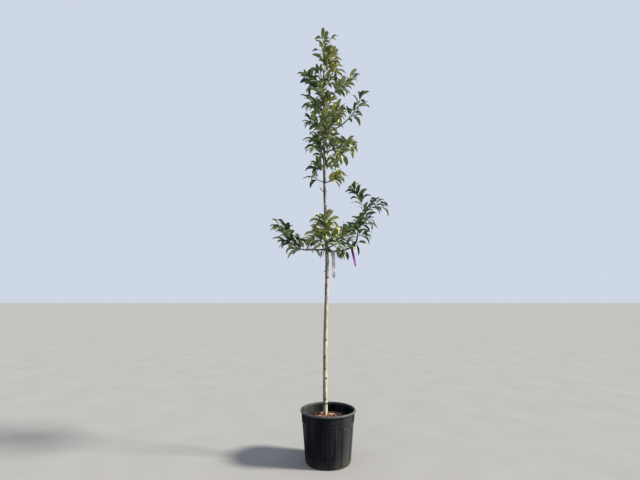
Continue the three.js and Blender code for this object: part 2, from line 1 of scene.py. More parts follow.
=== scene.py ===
"""A young container-grown tree: one slender straight stem with short leafy side shoots, standing
on its root ball in a black nursery pot. Sizes are in millimetres where no other unit is named,
+Z is up, +X is the photographer's right and +Y points away from the photographer."""

import math

import bpy
import numpy as np
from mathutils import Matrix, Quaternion, Vector, noise


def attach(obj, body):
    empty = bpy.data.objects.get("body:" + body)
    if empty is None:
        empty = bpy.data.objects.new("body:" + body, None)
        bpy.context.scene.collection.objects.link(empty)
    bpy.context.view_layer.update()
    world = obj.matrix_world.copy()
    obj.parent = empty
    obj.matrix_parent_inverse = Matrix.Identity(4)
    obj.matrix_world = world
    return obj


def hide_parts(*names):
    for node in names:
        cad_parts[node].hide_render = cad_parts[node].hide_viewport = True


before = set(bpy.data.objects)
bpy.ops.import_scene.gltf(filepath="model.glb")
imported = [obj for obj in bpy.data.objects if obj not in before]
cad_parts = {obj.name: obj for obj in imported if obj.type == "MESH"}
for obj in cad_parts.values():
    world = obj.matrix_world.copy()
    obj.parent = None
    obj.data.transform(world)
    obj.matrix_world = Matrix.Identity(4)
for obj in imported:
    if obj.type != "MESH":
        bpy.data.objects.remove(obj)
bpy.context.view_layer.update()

# The camera. The photographer stands nearly three metres in front of the tree and a little to its
# left, with a phone held at chest height and tilted up so that the whole tree fits the picture.
PHONE_PLACE = (-0.058, -2.869, 1.117)   # metres
PHONE_TILT = 9.24                       # degrees up
SENSOR_WIDTH = 36
FOCAL_SHARE = 375 / 640                 # focal length, of the picture's width
lens = bpy.data.cameras.new("phone")
lens.sensor_width = SENSOR_WIDTH
lens.lens = SENSOR_WIDTH * FOCAL_SHARE
phone = bpy.data.objects.new("phone", lens)
phone.location = PHONE_PLACE
phone.rotation_euler = (math.radians(90 + PHONE_TILT), 0, 0)
bpy.context.scene.collection.objects.link(phone)
bpy.context.scene.camera = phone

# The pot is a 35 litre nursery container, moulded in black plastic. Its wall tapers to the base
# and is stiffened by twelve raised panels, a proud collar with a hand grip sunk into either side,
# and a rolled lip. Four drain holes go through its floor.
POT_HEIGHT = 350
POT_BASE_RADIUS = 158
POT_WALL = 3
FLOOR_RINGS = (60, 110, 140)
WALL_RINGS = (3, 7, 11, 13, 15, 17, 22, *range(40, 250, 18), 249, 253, 255, 257, 259, 260.5)
COLLAR_FOOT = 262
COLLAR_FOOT_RADIUS = 182
COLLAR_STEP = 4
COLLAR_TOP_RADIUS = 188
COLLAR_RINGS = (263.5, 268, 273, 275, 277, 279, 286, 294, 302, 310, 318, 325, 327, 329, 331, 337)
COLLAR_INSIDE_OUT = 9                   # how far its inner side leans out
COLLAR_INSIDE_RISE = 84
LIP_FOOT = 334
LIP_ROLL = [(192.6, 334.2), (197, 334.8), (199.3, 336.8), (200, 340), (199.6, 344), (198.2, 347.4),
            (196, 349.4), (193.2, POT_HEIGHT), (190.4, 349.6), (188.6, 348), (188, 345)]
PANELS = 12
PANEL_START = 2.5                       # degrees from the front
PANEL_TURN = 180 / PANELS               # degrees, as wide as the gap beside it
PANEL_FOOT = 14
PANEL_HEAD = 256
PANEL_RELIEF = 2.8
GRIP_FROM = 56                          # degrees from the front, on both sides
GRIP_TO = 80
GRIP_RIBS = (64, 72)
GRIP_RIB_HALF = 1                       # degrees
GRIP_RIB_SHARE = 0.8                    # of the grip's depth
GRIP_FOOT = 276
GRIP_HEAD = 328
GRIP_DEPTH = 6.2
RELIEF_SLOPE = 4                        # height over which a panel or a grip begins
POT_SPOKES = 360
DRAIN_HOLES = 4
DRAIN_RADIUS = 8
DRAIN_CIRCLE = 125
DRILL_FOOT = -6
DRILL_HEAD = 9
DRILL_SPOKES = 16
# The black is tinted blue as a painted reflection of the sky.
MOULDED_BLACK_AND_SKY_TINT = ((0.002, 0.003, 0.007), (0.006, 0.008, 0.014))
# The lip is painted lighter: partly scuffing, partly a painted highlight where it catches the light.
SCUFFED_AND_HIGHLIT_BLACK = ((0.050, 0.053, 0.060), (0.125, 0.127, 0.135))
SCUFFED_AND_HIGHLIT_HEIGHTS = (0.334, 0.342)        # metres, where the lip begins
DUST_AND_SHEEN = (0.080, 0.080, 0.074)
SUNNY_DUST_AND_SHEEN_SHARE = 0.42                 # a painted sheen in the same grey, on the side that faces the sun
SPLASHED_SOIL = (0.12, 0.1, 0.075)
SPLASH_HEIGHT = 0.07                    # metres
SPLASH_SHARE = 0.55


def feed(finish, value, socket):
    """Sets an input to a value, or links it to the output that is to feed it."""
    if isinstance(value, bpy.types.NodeSocket):
        finish.node_tree.links.new(value, socket)
    else:
        socket.default_value = value


def add_node(finish, kind, inputs, **settings):
    node = finish.node_tree.nodes.new(kind)
    for name, value in settings.items():
        setattr(node, name, value)
    for name, value in inputs.items():
        feed(finish, value, node.inputs[name])
    return node


def new_finish(name, colour, roughness):
    """A material that starts as one colour, with its shader."""
    finish = bpy.data.materials.new(name)
    finish.use_nodes = True
    shader = finish.node_tree.nodes["Principled BSDF"]
    shader.inputs["Base Color"].default_value = (*colour, 1)
    shader.inputs["Roughness"].default_value = roughness
    return finish, shader


def grain(finish, size, stretch=(1, 1, 1), detail=4):
    """Noise with spots of a size in metres, which a stretch above 1 squeezes along an axis."""
    place = add_node(finish, "ShaderNodeTexCoord", {})
    squeezed = add_node(finish, "ShaderNodeMapping",
                        {"Vector": place.outputs["Object"], "Scale": stretch})
    pattern = add_node(finish, "ShaderNodeTexNoise",
                       {"Vector": squeezed.outputs["Vector"], "Scale": 1 / size, "Detail": detail})
    return pattern.outputs["Fac"]


def shades(finish, amount, dark, light, low=0.35, high=0.65):
    """Colours that go from dark to light as a grey amount goes from low to high."""
    ramp = add_node(finish, "ShaderNodeValToRGB", {"Fac": amount})
    for stop, place, colour in zip(ramp.color_ramp.elements, (low, high), (dark, light)):
        stop.position = place
        stop.color = (*colour, 1)
    return ramp.outputs["Color"]


def laid_over(finish, share, below, above):
    """One colour laid over another where the share is high."""
    mix = add_node(finish, "ShaderNodeMix", {}, data_type="RGBA")
    for value, index in ((share, 0), (below, 6), (above, 7)):
        feed(finish, value, mix.inputs[index])
    return mix.outputs[2]


def spread(finish, amount, low, high, out_low=0, out_high=1):
    """Stretches the part of a grey amount between low and high over a new range."""
    node = add_node(finish, "ShaderNodeMapRange",
                    {"Value": amount, "From Min": low, "From Max": high,
                     "To Min": out_low, "To Max": out_high})
    return node.outputs["Result"]


def combined(finish, operation, first, second):
    """Two grey amounts as one, by a sum or a product."""
    return add_node(finish, "ShaderNodeMath", {0: first, 1: second}, operation=operation).outputs[0]


def roughen(finish, shader, height, depth, strength=1):
    """Raises the surface where the height is high, by up to a depth in metres."""
    bump = add_node(finish, "ShaderNodeBump",
                    {"Height": height, "Distance": depth, "Strength": strength})
    feed(finish, bump.outputs["Normal"], shader.inputs["Normal"])


def surface(finish, kind, axis):
    """Where a point of the surface lies, or which way it faces, along one axis."""
    place = add_node(finish, "ShaderNodeTexCoord", {})
    parts = add_node(finish, "ShaderNodeSeparateXYZ", {"Vector": place.outputs[kind]})
    return parts.outputs[axis]


def height_above(finish, low, high):
    """0 below one height and 1 above the other, in metres."""
    return spread(finish, surface(finish, "Object", "Z"), low, high)


def facing_right(finish, low, high, out_low, out_high):
    """An amount that changes from the left side to the right one, where the sun is."""
    return spread(finish, surface(finish, "Normal", "X"), low, high, out_low, out_high)


def make_piece(name, shape, finish, sharp=40):
    """An object from a shape, which is its points and its faces. Edges above the angle are crisp."""
    points, faces = shape
    mesh = bpy.data.meshes.new(name)
    mesh.from_pydata((np.asarray(points) / 1000).tolist(), [], faces)
    mesh.validate()
    mesh.polygons.foreach_set("use_smooth", [True] * len(mesh.polygons))
    mesh.set_sharp_from_angle(angle=math.radians(sharp))
    mesh.materials.append(finish)
    piece = bpy.data.objects.new(name, mesh)
    bpy.context.scene.collection.objects.link(piece)
    return piece


def joined(shapes):
    """Several shapes as one."""
    points = []
    faces = []
    for shape_points, shape_faces in shapes:
        start = len(points)
        points.extend(shape_points)
        faces.extend([tuple(corner + start for corner in face) for face in shape_faces])
    return points, faces


def lathe(rows, spokes, bulge=None):
    """A closed shape turned from rows of radius and height that start and end on the axis. The
    bulge of a row at an angle in degrees is added to its radius."""
    points = [(0, 0, rows[0][1])]
    for radius, height in rows[1:-1]:
        for spoke in range(spokes):
            angle = 360 * spoke / spokes
            out = radius + (bulge(radius, height, angle) if bulge else 0)
            points.append((out * math.sin(math.radians(angle)),
                           -out * math.cos(math.radians(angle)), height))
    points.append((0, 0, rows[-1][1]))
    last = len(points) - 1
    faces = []
    for spoke in range(spokes):
        after = (spoke + 1) % spokes
        faces.append((0, 1 + after, 1 + spoke))
        for row in range(len(rows) - 3):
            foot = 1 + row * spokes
            faces.append((foot + spoke, foot + after, foot + spokes + after, foot + spokes + spoke))
        foot = 1 + (len(rows) - 3) * spokes
        faces.append((foot + spoke, foot + after, last))
    return points, faces


def within(value, low, high, slope):
    """1 between two limits and 0 outside them, with a slope on either side."""
    return min(max(min(value - low, high - value) / slope + 0.5, 0), 1)


def wall_radius(height):
    slope = (COLLAR_FOOT_RADIUS - POT_BASE_RADIUS) / COLLAR_FOOT
    return POT_BASE_RADIUS + slope * height


def collar_radius(height):
    share = (height - COLLAR_FOOT) / (LIP_FOOT - COLLAR_FOOT)
    return COLLAR_FOOT_RADIUS + COLLAR_STEP + (COLLAR_TOP_RADIUS - COLLAR_FOOT_RADIUS) * share


def pot_relief(radius, height, angle):
    """How far the panels stand out of the pot's wall, and how far the hand grips are sunk in. The
    inner side and the lip are plain."""
    if radius < wall_radius(height) - POT_WALL / 2 or height > LIP_FOOT:
        return 0
    into = (angle - PANEL_START + PANEL_TURN / 2) % (2 * PANEL_TURN) - PANEL_TURN / 2
    panel = within(into, 0, PANEL_TURN, 1) * within(height, PANEL_FOOT, PANEL_HEAD, RELIEF_SLOPE)
    side = min(angle, 360 - angle)
    rib = max(within(side, centre - GRIP_RIB_HALF, centre + GRIP_RIB_HALF, 1) for centre in GRIP_RIBS)
    grip = within(side, GRIP_FROM, GRIP_TO, 1) * within(height, GRIP_FOOT, GRIP_HEAD, RELIEF_SLOPE)
    return PANEL_RELIEF * panel - GRIP_DEPTH * grip * (1 - GRIP_RIB_SHARE * rib)


def pot_rows():
    """The pot's section: its underside, its wall and lip, and back down inside to its floor."""
    rows = [(0, 0)] + [(radius, 0) for radius in FLOOR_RINGS]
    rows += [(POT_BASE_RADIUS - 3, 0), (POT_BASE_RADIUS - 0.8, 0.8)]
    rows += [(wall_radius(height), height) for height in WALL_RINGS]
    rows += [(COLLAR_FOOT_RADIUS + 1, 261.4), (COLLAR_FOOT_RADIUS + 3.4, 262)]
    rows += [(collar_radius(height), height) for height in COLLAR_RINGS]
    rows += LIP_ROLL
    for share in (0.75, 0.5, 0.25, 0):
        rows.append((COLLAR_FOOT_RADIUS - POT_WALL + COLLAR_INSIDE_OUT * share,
                     COLLAR_FOOT + COLLAR_INSIDE_RISE * share))
    rows += [(wall_radius(height) - POT_WALL, height) for height in (200, 100, 6)]
    return rows + [(radius, POT_WALL) for radius in (POT_BASE_RADIUS - 8, 110, 60, 0)]


def pot_plastic():
    """Black plastic, tinted blue as a painted reflection of the sky, with a lip that is scuffed and
    painted lighter as a highlight. Dust streaks it, and more of the same grey is laid over its sunny
    right side as a painted sheen. It is splashed with soil at its foot."""
    finish, shader = new_finish("black_pot_plastic", (0.012, 0.012, 0.013), 0.5)
    shader.inputs["Specular IOR Level"].default_value = 0.14
    streaks = grain(finish, 0.05, (1, 1, 0.12), 6)
    specks = grain(finish, 0.006, detail=3)
    # The moulded black carries a painted sky reflection as a blue tint.
    moulded_and_sky_tint = shades(finish, specks, *MOULDED_BLACK_AND_SKY_TINT, high=0.7)
    # Above its foot the lip is lighter, partly scuffed and partly a painted highlight.
    scuffed_and_highlit = shades(finish, specks, *SCUFFED_AND_HIGHLIT_BLACK, high=0.7)
    plastic = laid_over(finish, height_above(finish, *SCUFFED_AND_HIGHLIT_HEIGHTS), moulded_and_sky_tint, scuffed_and_highlit)
    # Streaks of dust, plus a painted sheen in the same grey on the side that faces the sun.
    dust_and_sheen = combined(finish, "ADD", spread(finish, streaks, 0.46, 0.76, 0.01, 0.3),
                    facing_right(finish, 0.1, 0.8, 0, SUNNY_DUST_AND_SHEEN_SHARE))
    dusty_and_sheened = laid_over(finish, dust_and_sheen, plastic, (*DUST_AND_SHEEN, 1))
    low = spread(finish, height_above(finish, SPLASH_HEIGHT, 0.0), 0, 1, 0, SPLASH_SHARE)
    splash = combined(finish, "MULTIPLY", low, specks)
    feed(finish, laid_over(finish, splash, dusty_and_sheened, (*SPLASHED_SOIL, 1)), shader.inputs["Base Color"])
    feed(finish, spread(finish, streaks, 0.35, 0.7, 0.3, 0.5), shader.inputs["Roughness"])
    roughen(finish, shader, grain(finish, 0.0022, detail=2), 0.00012, 0.6)
    return finish


def drill_drain_holes(pot, finish):
    """Cuts the drain holes through the pot's floor."""
    drills = []
    for hole in range(DRAIN_HOLES):
        angle = 2 * math.pi * hole / DRAIN_HOLES
        rows = [(0, DRILL_FOOT), (DRAIN_RADIUS, DRILL_FOOT), (DRAIN_RADIUS, DRILL_HEAD), (0, DRILL_HEAD)]
        points, faces = lathe(rows, DRILL_SPOKES)
        shift = np.array((DRAIN_CIRCLE * math.cos(angle), DRAIN_CIRCLE * math.sin(angle), 0))
        drills.append((np.asarray(points) + shift, faces))
    drill = make_piece("drill", joined(drills), finish)
    cut = pot.modifiers.new("drain_holes", "BOOLEAN")
    cut.operation = "DIFFERENCE"
    cut.object = drill
    bpy.context.view_layer.update()
    whole = pot.evaluated_get(bpy.context.evaluated_depsgraph_get())
    drilled = bpy.data.meshes.new_from_object(whole)
    pot.modifiers.clear()
    pot.data = drilled
    bpy.data.objects.remove(drill)


black_plastic = pot_plastic()
pot = make_piece("nursery_pot", lathe(pot_rows(), POT_SPOKES, pot_relief), black_plastic)
drill_drain_holes(pot, black_plastic)
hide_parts("pot")
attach(pot, "root")

# The root ball fills the pot to 60 mm under its rim. It is peat and composted bark held together
# by the roots, dry and crumbly on top, where it rises a little towards the stem.
BALL_FOOT = POT_WALL + 0.3              # just clear of the pot's floor
BALL_FOOT_RADIUS = 153.6
BALL_SIDE_RADIUS = 177.6
BALL_SPOKES = 120
SOIL_EDGE = 286
SOIL_TOP = 296
SOIL_RINGS = range(175, 0, -5)
SOIL_FLAT_RADIUS = 95
SOIL_ROUGHNESS = 3.5
LUMP_SIZE = 34
CLOD_SIZE = 11
SEED_STEP = 7919
DICE_STEP = 16807
DICE_RANGE = 2147483647
CRUMBS = 900
CRUMB_SEED = 41
CRUMB_REACH = 170
CRUMB_SIZES = (1.6, 6)
CRUMB_UNEVENNESS = (0.75, 1.2)
CRUMB_CORNERS = [(0, 0, 1), (0.9, 0, 0.2), (0.3, 0.85, 0.3), (-0.8, 0.5, 0.1), (-0.7, -0.6, 0.2),
                 (0.4, -0.85, 0.1), (0, 0, -1)]
CRUMB_FACES = [(0, ring, ring % 5 + 1) for ring in range(1, 6)]
CRUMB_FACES += [(6, ring % 5 + 1, ring) for ring in range(1, 6)]


def dice(seed):
    """A seeded row of numbers between 0 and 1."""
    state = seed * SEED_STEP + 13
    while True:
        state = state * DICE_STEP % DICE_RANGE
        yield state / DICE_RANGE


def between(roll, low, high):
    return low + (high - low) * next(roll)


def soil_height(x, y):
    away = math.hypot(x, y)
    share = min(max((away - SOIL_FLAT_RADIUS) / (BALL_SIDE_RADIUS - SOIL_FLAT_RADIUS), 0), 1)
    lumps = noise.noise(Vector((x / LUMP_SIZE, y / LUMP_SIZE, 3)))
    clods = noise.noise(Vector((x / CLOD_SIZE, y / CLOD_SIZE, 8)))
    return SOIL_TOP - (SOIL_TOP - SOIL_EDGE) * share + SOIL_ROUGHNESS * (lumps + 0.5 * clods)


def root_ball_shape():
    rows = [(0, BALL_FOOT), (BALL_FOOT_RADIUS, BALL_FOOT), (BALL_SIDE_RADIUS, COLLAR_FOOT)]
    rows += [(BALL_SIDE_RADIUS + 1, SOIL_EDGE - 6)]
    rows += [(radius, SOIL_EDGE) for radius in SOIL_RINGS] + [(0, SOIL_TOP)]
    points, faces = lathe(rows, BALL_SPOKES)
    return [(x, y, soil_height(x, y) if z >= SOIL_EDGE else z) for x, y, z in points], faces


def crumb(roll, x, y, size):
    """A lump of compost with seven corners."""
    axis = Vector((next(roll) - 0.5, next(roll) - 0.5, next(roll))).normalized()
    turn = Quaternion(axis, 6 * next(roll))
    centre = Vector((x, y, soil_height(x, y) + 0.3 * size))
    points = [centre + turn @ Vector(corner) * size * between(roll, *CRUMB_UNEVENNESS)
              for corner in CRUMB_CORNERS]
    return points, CRUMB_FACES


def scattered_crumbs(seed, count):
    roll = dice(seed)
    lumps = []
    for _ in range(count):
        away = CRUMB_REACH * math.sqrt(next(roll))
        angle = 2 * math.pi * next(roll)
        size = between(roll, *CRUMB_SIZES) * (0.4 + 0.6 * next(roll))
        lumps.append(crumb(roll, away * math.cos(angle), away * math.sin(angle), size))
    return joined(lumps)


def compost(name, dark, light):
    """Fibrous, crumbly peat or bark, without any gloss."""
    finish, shader = new_finish(name, dark, 0.95)
    fibres = grain(finish, 0.012, detail=8)
    feed(finish, shades(finish, fibres, dark, light, high=0.62), shader.inputs["Base Color"])
    roughen(finish, shader, grain(finish, 0.003, detail=6), 0.0012)
    return finish


peat = compost("dry_peat", (0.010, 0.007, 0.006), (0.034, 0.023, 0.017))
root_ball = make_piece("root_ball_soil", root_ball_shape(), peat)
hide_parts("root_ball")
crumb_brown = compost("crumbled_bark", (0.014, 0.009, 0.007), (0.055, 0.034, 0.024))
crumbs = make_piece("soil_crumbs", scattered_crumbs(CRUMB_SEED, CRUMBS), crumb_brown)
for piece in (root_ball, crumbs):
    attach(piece, "root")

# Bark chips are heaped round the foot of the stem as a mulch. They are flat splinters of
# red-brown conifer bark, weathered to tan and grey, that lie over each other at all angles.
STEM_FOOT_X = -20
HEAP_RADIUS = 84
HEAP_MIDDLE = 22                        # the radius that is left to the stem
HEAP_HEIGHT = 22
CHIP_SEED = 51
CHIP_LENGTHS = (14, 40)
CHIP_WIDTHS = (7, 15)
CHIP_THICKNESSES = (2.2, 4.5)
CHIP_CORNERS = 7
CHIP_JAGS = (0.7, 1.15)                 # how far out a corner is, of its ring
CHIP_RINGS = [(0.86, -0.5), (1, 0), (0.84, 0.5)]    # a ring's width, and its level in the thickness
CHIP_LEAN = 0.5                         # radians, either way
CHIP_CURL = 0.004
CHIP_KINDS = [
    ("red_bark_chips", 80, (0.15, 0.044, 0.026), (0.44, 0.19, 0.12)),
    ("tan_bark_chips", 30, (0.40, 0.27, 0.18), (0.80, 0.66, 0.50)),
    ("dark_bark_chips", 70, (0.010, 0.006, 0.005), (0.045, 0.026, 0.019)),
]


def ring_faces(low, high, corners):
    """The faces between two rings of corners that begin at the points low and high."""
    return [(low + corner, low + (corner + 1) % corners, high + (corner + 1) % corners, high + corner)
            for corner in range(corners)]


def chip(roll, x, y, height):
    """A flat splinter: three jagged rings of corners, the middle one widest."""
    long, wide = between(roll, *CHIP_LENGTHS), between(roll, *CHIP_WIDTHS)
    thick = between(roll, *CHIP_THICKNESSES)
    jags = [between(roll, *CHIP_JAGS) for _ in range(CHIP_CORNERS)]
    lean_sideways = Quaternion((1, 0, 0), between(roll, -CHIP_LEAN, CHIP_LEAN))
    lean_endways = Quaternion((0, 1, 0), between(roll, -CHIP_LEAN, CHIP_LEAN))
    turn = Quaternion((0, 0, 1), 2 * math.pi * next(roll)) @ (lean_sideways @ lean_endways)
    points = []
    for scale, level in CHIP_RINGS:
        for corner, jag in enumerate(jags):
            angle = 2 * math.pi * corner / CHIP_CORNERS
            bent = level * thick + CHIP_CURL * (long / 2 * math.cos(angle)) ** 2
            points.append(Vector((x, y, height)) + turn @ Vector((
                scale * jag * long / 2 * math.cos(angle),
                scale * jag * wide / 2 * math.sin(angle), bent)))
    under, middle, over = 0, CHIP_CORNERS, 2 * CHIP_CORNERS
    faces = [tuple(range(middle - 1, under - 1, -1)), tuple(range(over, len(points)))]
    faces += ring_faces(under, middle, CHIP_CORNERS) + ring_faces(middle, over, CHIP_CORNERS)
    return points, faces


def chip_heap(seed, count):
    roll = dice(seed)
    chips = []
    for _ in range(count):
        away = HEAP_MIDDLE + (HEAP_RADIUS - HEAP_MIDDLE) * next(roll) ** 0.8
        angle = 2 * math.pi * next(roll)
        x = STEM_FOOT_X + away * math.cos(angle)
        y = away * math.sin(angle)
        slope = HEAP_HEIGHT * (1 - away / (HEAP_RADIUS + 10))
        chips.append(chip(roll, x, y, soil_height(x, y) + 1 + slope * (0.4 + 0.6 * next(roll))))
    return joined(chips)


for kind, (name, count, dark, light) in enumerate(CHIP_KINDS):
    chips = make_piece(name, chip_heap(CHIP_SEED + kind, count), compost(name, dark, light), sharp=20)
    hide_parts("bark_chips")
    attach(chips, "root")

# The stem is one straight, slowly tapering trunk with smooth young bark, cream to grey-brown, with
# pale breathing pores in short level dashes. It flares into the root ball, bows a little to the
# right below the middle of its height, and has a faint ring at each old bud scar.
STEM_TOP = 3090
TREE_TOP = 3386
STEM_BURIED = 12
STEM_LEAN_X = -8
STEM_RADIUS = 16.2
STEM_TAPER = 0.85
TAPER_POWER = 1.6
FLARE = 3
FLARE_HEIGHT = 22
BOW_RIGHT = 19
BOW_BACK = 7
BOW_HEIGHT = 1400
BOW_REACH = 450
STEM_RINGS_APART = 6
STEM_SIDES = 32
STEM_SEED = 61
ROOT_RIBS = 5
ROOT_RIB_DEPTH = 1.6
ROOT_RIB_HEIGHT = 26
STEM_WAVES = 0.7                        # how deep the unevenness of its bark is
SCAR_SPACINGS = (58, 104)
SCAR_SWELLING = 0.7
SCAR_WIDTH = 3.5
SCAR_REACH = 12
WAVE_LENGTH = 85
BUMP_LENGTH = 16
BUMP_SHARE = 0.35                       # of the waves' depth
LOW_STEM = ((0.24, 0.21, 0.145), (0.46, 0.43, 0.33))
HIGH_STEM = ((0.075, 0.058, 0.048), (0.50, 0.46, 0.40))
STEM_FADE = (0.9, 1.9)                  # metres, where one goes over into the other
STEM_PORES = (0.56, 0.53, 0.44)
# The dark olive of a painted shade, for the side of the stem away from the sun.
PAINTED_SHADE_OLIVE = (0.060, 0.048, 0.030)


def stem_at(height):
    """The middle of the stem at a height."""
    share = (height - SOIL_TOP) / (TREE_TOP - SOIL_TOP)
    bow = math.exp(-((height - BOW_HEIGHT) / BOW_REACH) ** 2)
    return Vector((STEM_FOOT_X + STEM_LEAN_X * share + BOW_RIGHT * bow, BOW_BACK * bow, height))


def stem_radius(height):
    share = max(0, (height - SOIL_TOP) / (TREE_TOP - SOIL_TOP))
    flare = FLARE * math.exp(-(height - SOIL_TOP) / FLARE_HEIGHT)
    return STEM_RADIUS * (1 - STEM_TAPER * share ** TAPER_POWER) + flare


def sweep(line, radii, sides, relief=None):
    """A round limb along a line of points. Its relief is a table of a row of heights for each
    ring, added to the ring's radius."""
    line = np.array([tuple(point) for point in line])
    ways = np.gradient(line, axis=0)
    ways /= np.linalg.norm(ways, axis=1)[:, None]
    across = np.array((1.0, 0, 0)) if abs(ways[0][0]) < 0.8 else np.array((0, 1.0, 0))
    angles = 2 * np.pi * np.arange(sides) / sides
    rings = []
    for index, (point, way) in enumerate(zip(line, ways)):
        across = across - way * across.dot(way)
        across /= np.linalg.norm(across)
        third = np.cross(way, across)
        reach = radii[index] + (relief[index] if relief is not None else np.zeros(sides))
        rings.append(point + (np.cos(angles) * reach)[:, None] * across
                     + (np.sin(angles) * reach)[:, None] * third)
    points = np.concatenate(rings + [line[:1], line[-1:]])
    foot, tip = len(line) * sides, len(line) * sides + 1
    faces = []
    for side in range(sides):
        after = (side + 1) % sides
        faces.append((foot, after, side))
        faces.append((tip, foot - sides + side, foot - sides + after))
        for ring in range(0, foot - sides, sides):
            faces.append((ring + side, ring + after, ring + sides + after, ring + sides + side))
    return points, faces


def bark_relief(heights, sides, roll, depth, spacings, swelling):
    """The unevenness of bark: low waves, small bumps and a ring at each bud scar."""
    scars = []
    place = heights[0] + between(roll, *spacings)
    while place < heights[-1]:
        scars.append((place, 2 * math.pi * next(roll)))
        place += between(roll, *spacings)
    table = np.zeros((len(heights), sides))
    for row, height in enumerate(heights):
        near = [(at, turn) for at, turn in scars if abs(at - height) < SCAR_REACH]
        for side in range(sides):
            angle = 2 * math.pi * side / sides
            around = Vector((math.cos(angle), math.sin(angle), 0))
            waves = noise.noise(around * 0.9 + Vector((0, 0, height / WAVE_LENGTH)))
            bumps = noise.noise(around * 2.2 + Vector((7, 0, height / BUMP_LENGTH)))
            rings = sum(math.exp(-((height - at) / SCAR_WIDTH) ** 2)
                        * (0.75 + 0.5 * math.cos(angle - turn)) for at, turn in near)
            table[row][side] = depth * waves + BUMP_SHARE * depth * bumps + swelling * rings
    return table


def stem_shape():
    """The trunk, with the ribs of its roots where it enters the soil."""
    heights = np.arange(SOIL_TOP - STEM_BURIED, STEM_TOP, STEM_RINGS_APART)
    radii = [stem_radius(max(height, SOIL_TOP)) for height in heights]
    relief = bark_relief(heights, STEM_SIDES, dice(STEM_SEED), STEM_WAVES, SCAR_SPACINGS, SCAR_SWELLING)
    relief *= (np.array(radii) / STEM_RADIUS)[:, None]
    angles = 2 * np.pi * np.arange(STEM_SIDES) / STEM_SIDES
    for row, height in enumerate(heights):
        ribs = ROOT_RIB_DEPTH * math.exp(-max(height - SOIL_TOP, 0) / ROOT_RIB_HEIGHT)
        relief[row] += ribs * np.cos(ROOT_RIBS * angles + 0.6)
    return sweep([stem_at(height) for height in heights], radii, STEM_SIDES, relief)


def bark(name, low, high, heights, pore, pore_share, painted_shade_share=0):
    """Smooth bark: two shades at its foot and two at its top, with level dashes of pores. A painted
    shade darkens the side that faces left, away from the sun, by its share."""
    finish, shader = new_finish(name, low[0], 0.72)
    cloud = grain(finish, 0.045, (1, 1, 0.45), 5)
    at_foot = shades(finish, cloud, *low, 0.36, 0.64)
    at_top = shades(finish, grain(finish, 0.02, (1, 1, 0.5), 3), *high, 0.46, 0.58)
    colour = laid_over(finish, height_above(finish, *heights), at_foot, at_top)
    dashes = spread(finish, grain(finish, 0.016, (1, 1, 5), 2), 0.62, 0.68, 0, pore_share)
    colour = laid_over(finish, dashes, colour, (*pore, 1))
    streaks = spread(finish, grain(finish, 0.012, (1, 1, 0.25), 6), 0.56, 0.74, 0, 0.5)
    colour = laid_over(finish, streaks, colour, (*[0.45 * part for part in low[0]], 1))
    if painted_shade_share:
        # Painted shade on the side that faces away from the sun.
        colour = laid_over(finish, facing_right(finish, -0.35, 0.3, painted_shade_share, 0), colour, (*PAINTED_SHADE_OLIVE, 1))
    feed(finish, colour, shader.inputs["Base Color"])
    feed(finish, spread(finish, cloud, 0.3, 0.7, 0.6, 0.8), shader.inputs["Roughness"])
    roughen(finish, shader, combined(finish, "ADD", grain(finish, 0.004, (1, 1, 3), 5), dashes), 0.0006)
    return finish


stem_bark = bark("stem_bark", LOW_STEM, HIGH_STEM, STEM_FADE, STEM_PORES, 0.7, painted_shade_share=0.55)
stem = make_piece("stem", stem_shape(), stem_bark)
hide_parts("trunk")
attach(stem, "root")

# Knots mark where side shoots were pruned off in the nursery: dark plugs of dead wood in the
# bark. Three more shoots were cut long and left as stubs.
KNOTS = [                               # height and azimuth: in front, at the back, and higher up
    (384, -152), (387, -96), (385, -42), (416, -84), (561, -56), (627, -96), (711, -97),
    (833, -66), (1177, -102), (1293, -56), (1373, -143), (1411, -12),
    (508, 88), (676, 34), (905, 128), (1046, 62), (1238, 164),
    (1712, 100), (1850, -70), (2118, 58), (2240, -110),
]
KNOT_RADIUS = 4.6
KNOT_PROUD = 2.4
KNOT_SECTION = [                        # how far out of the bark, and how wide, of the radius
    (-6, 1.7), (0, 1.35), (KNOT_PROUD * 0.6, 1.1), (KNOT_PROUD, 0.9), (KNOT_PROUD * 0.9, 0.6), (0, 0.3),
]
KNOT_SIDES = 14
KNOT_RISE = 4                           # degrees
STUBS = [(1962, 176, 40, 62), (1958, -4, 30, 28), (1336, 168, 10, 27)]  # height, azimuth, rise, length
STUB_RADIUS = 3.4
STUB_TAPER = 1
STUB_STEPS = 8
STUB_SIDES = 10
STUB_WAVES = 0.35
STUB_SCARS = (9, 16)
STUB_SCAR_SWELLING = 0.5
STUB_LIFT = 20                          # degrees, from foot to tip
DEAD_WOOD = ((0.008, 0.006, 0.005), (0.05, 0.033, 0.022))


def direction(azimuth, rise):
    """The way to an azimuth, 0 to the right and 90 to the back, that rises by an angle."""
    flat = math.cos(math.radians(rise))
    return Vector((flat * math.cos(math.radians(azimuth)), flat * math.sin(math.radians(azimuth)),
                   math.sin(math.radians(rise))))


def grow_line(start, azimuth, turn, rise, length, steps):
    """A limb's line: its azimuth turns and its rise goes evenly from one value to the other."""
    def way(share):
        return direction(azimuth + turn * share, rise[0] + (rise[1] - rise[0]) * share)

    line = [(Vector(start), way(0))]
    for step in range(steps):
        point = line[-1][0] + way((step + 0.5) / steps) * (length / steps)
        line.append((point, way((step + 1) / steps)))
    return line


def knot(height, azimuth):
    """A low round plug that stands out of the bark and is hollow in its middle."""
    way = direction(azimuth, KNOT_RISE)
    face = stem_at(height) + way * stem_radius(height)
    size = KNOT_RADIUS * (0.6 + 0.4 * stem_radius(height) / STEM_RADIUS)
    return sweep([face + way * out for out, _ in KNOT_SECTION],
                 [size * wide for _, wide in KNOT_SECTION], KNOT_SIDES)


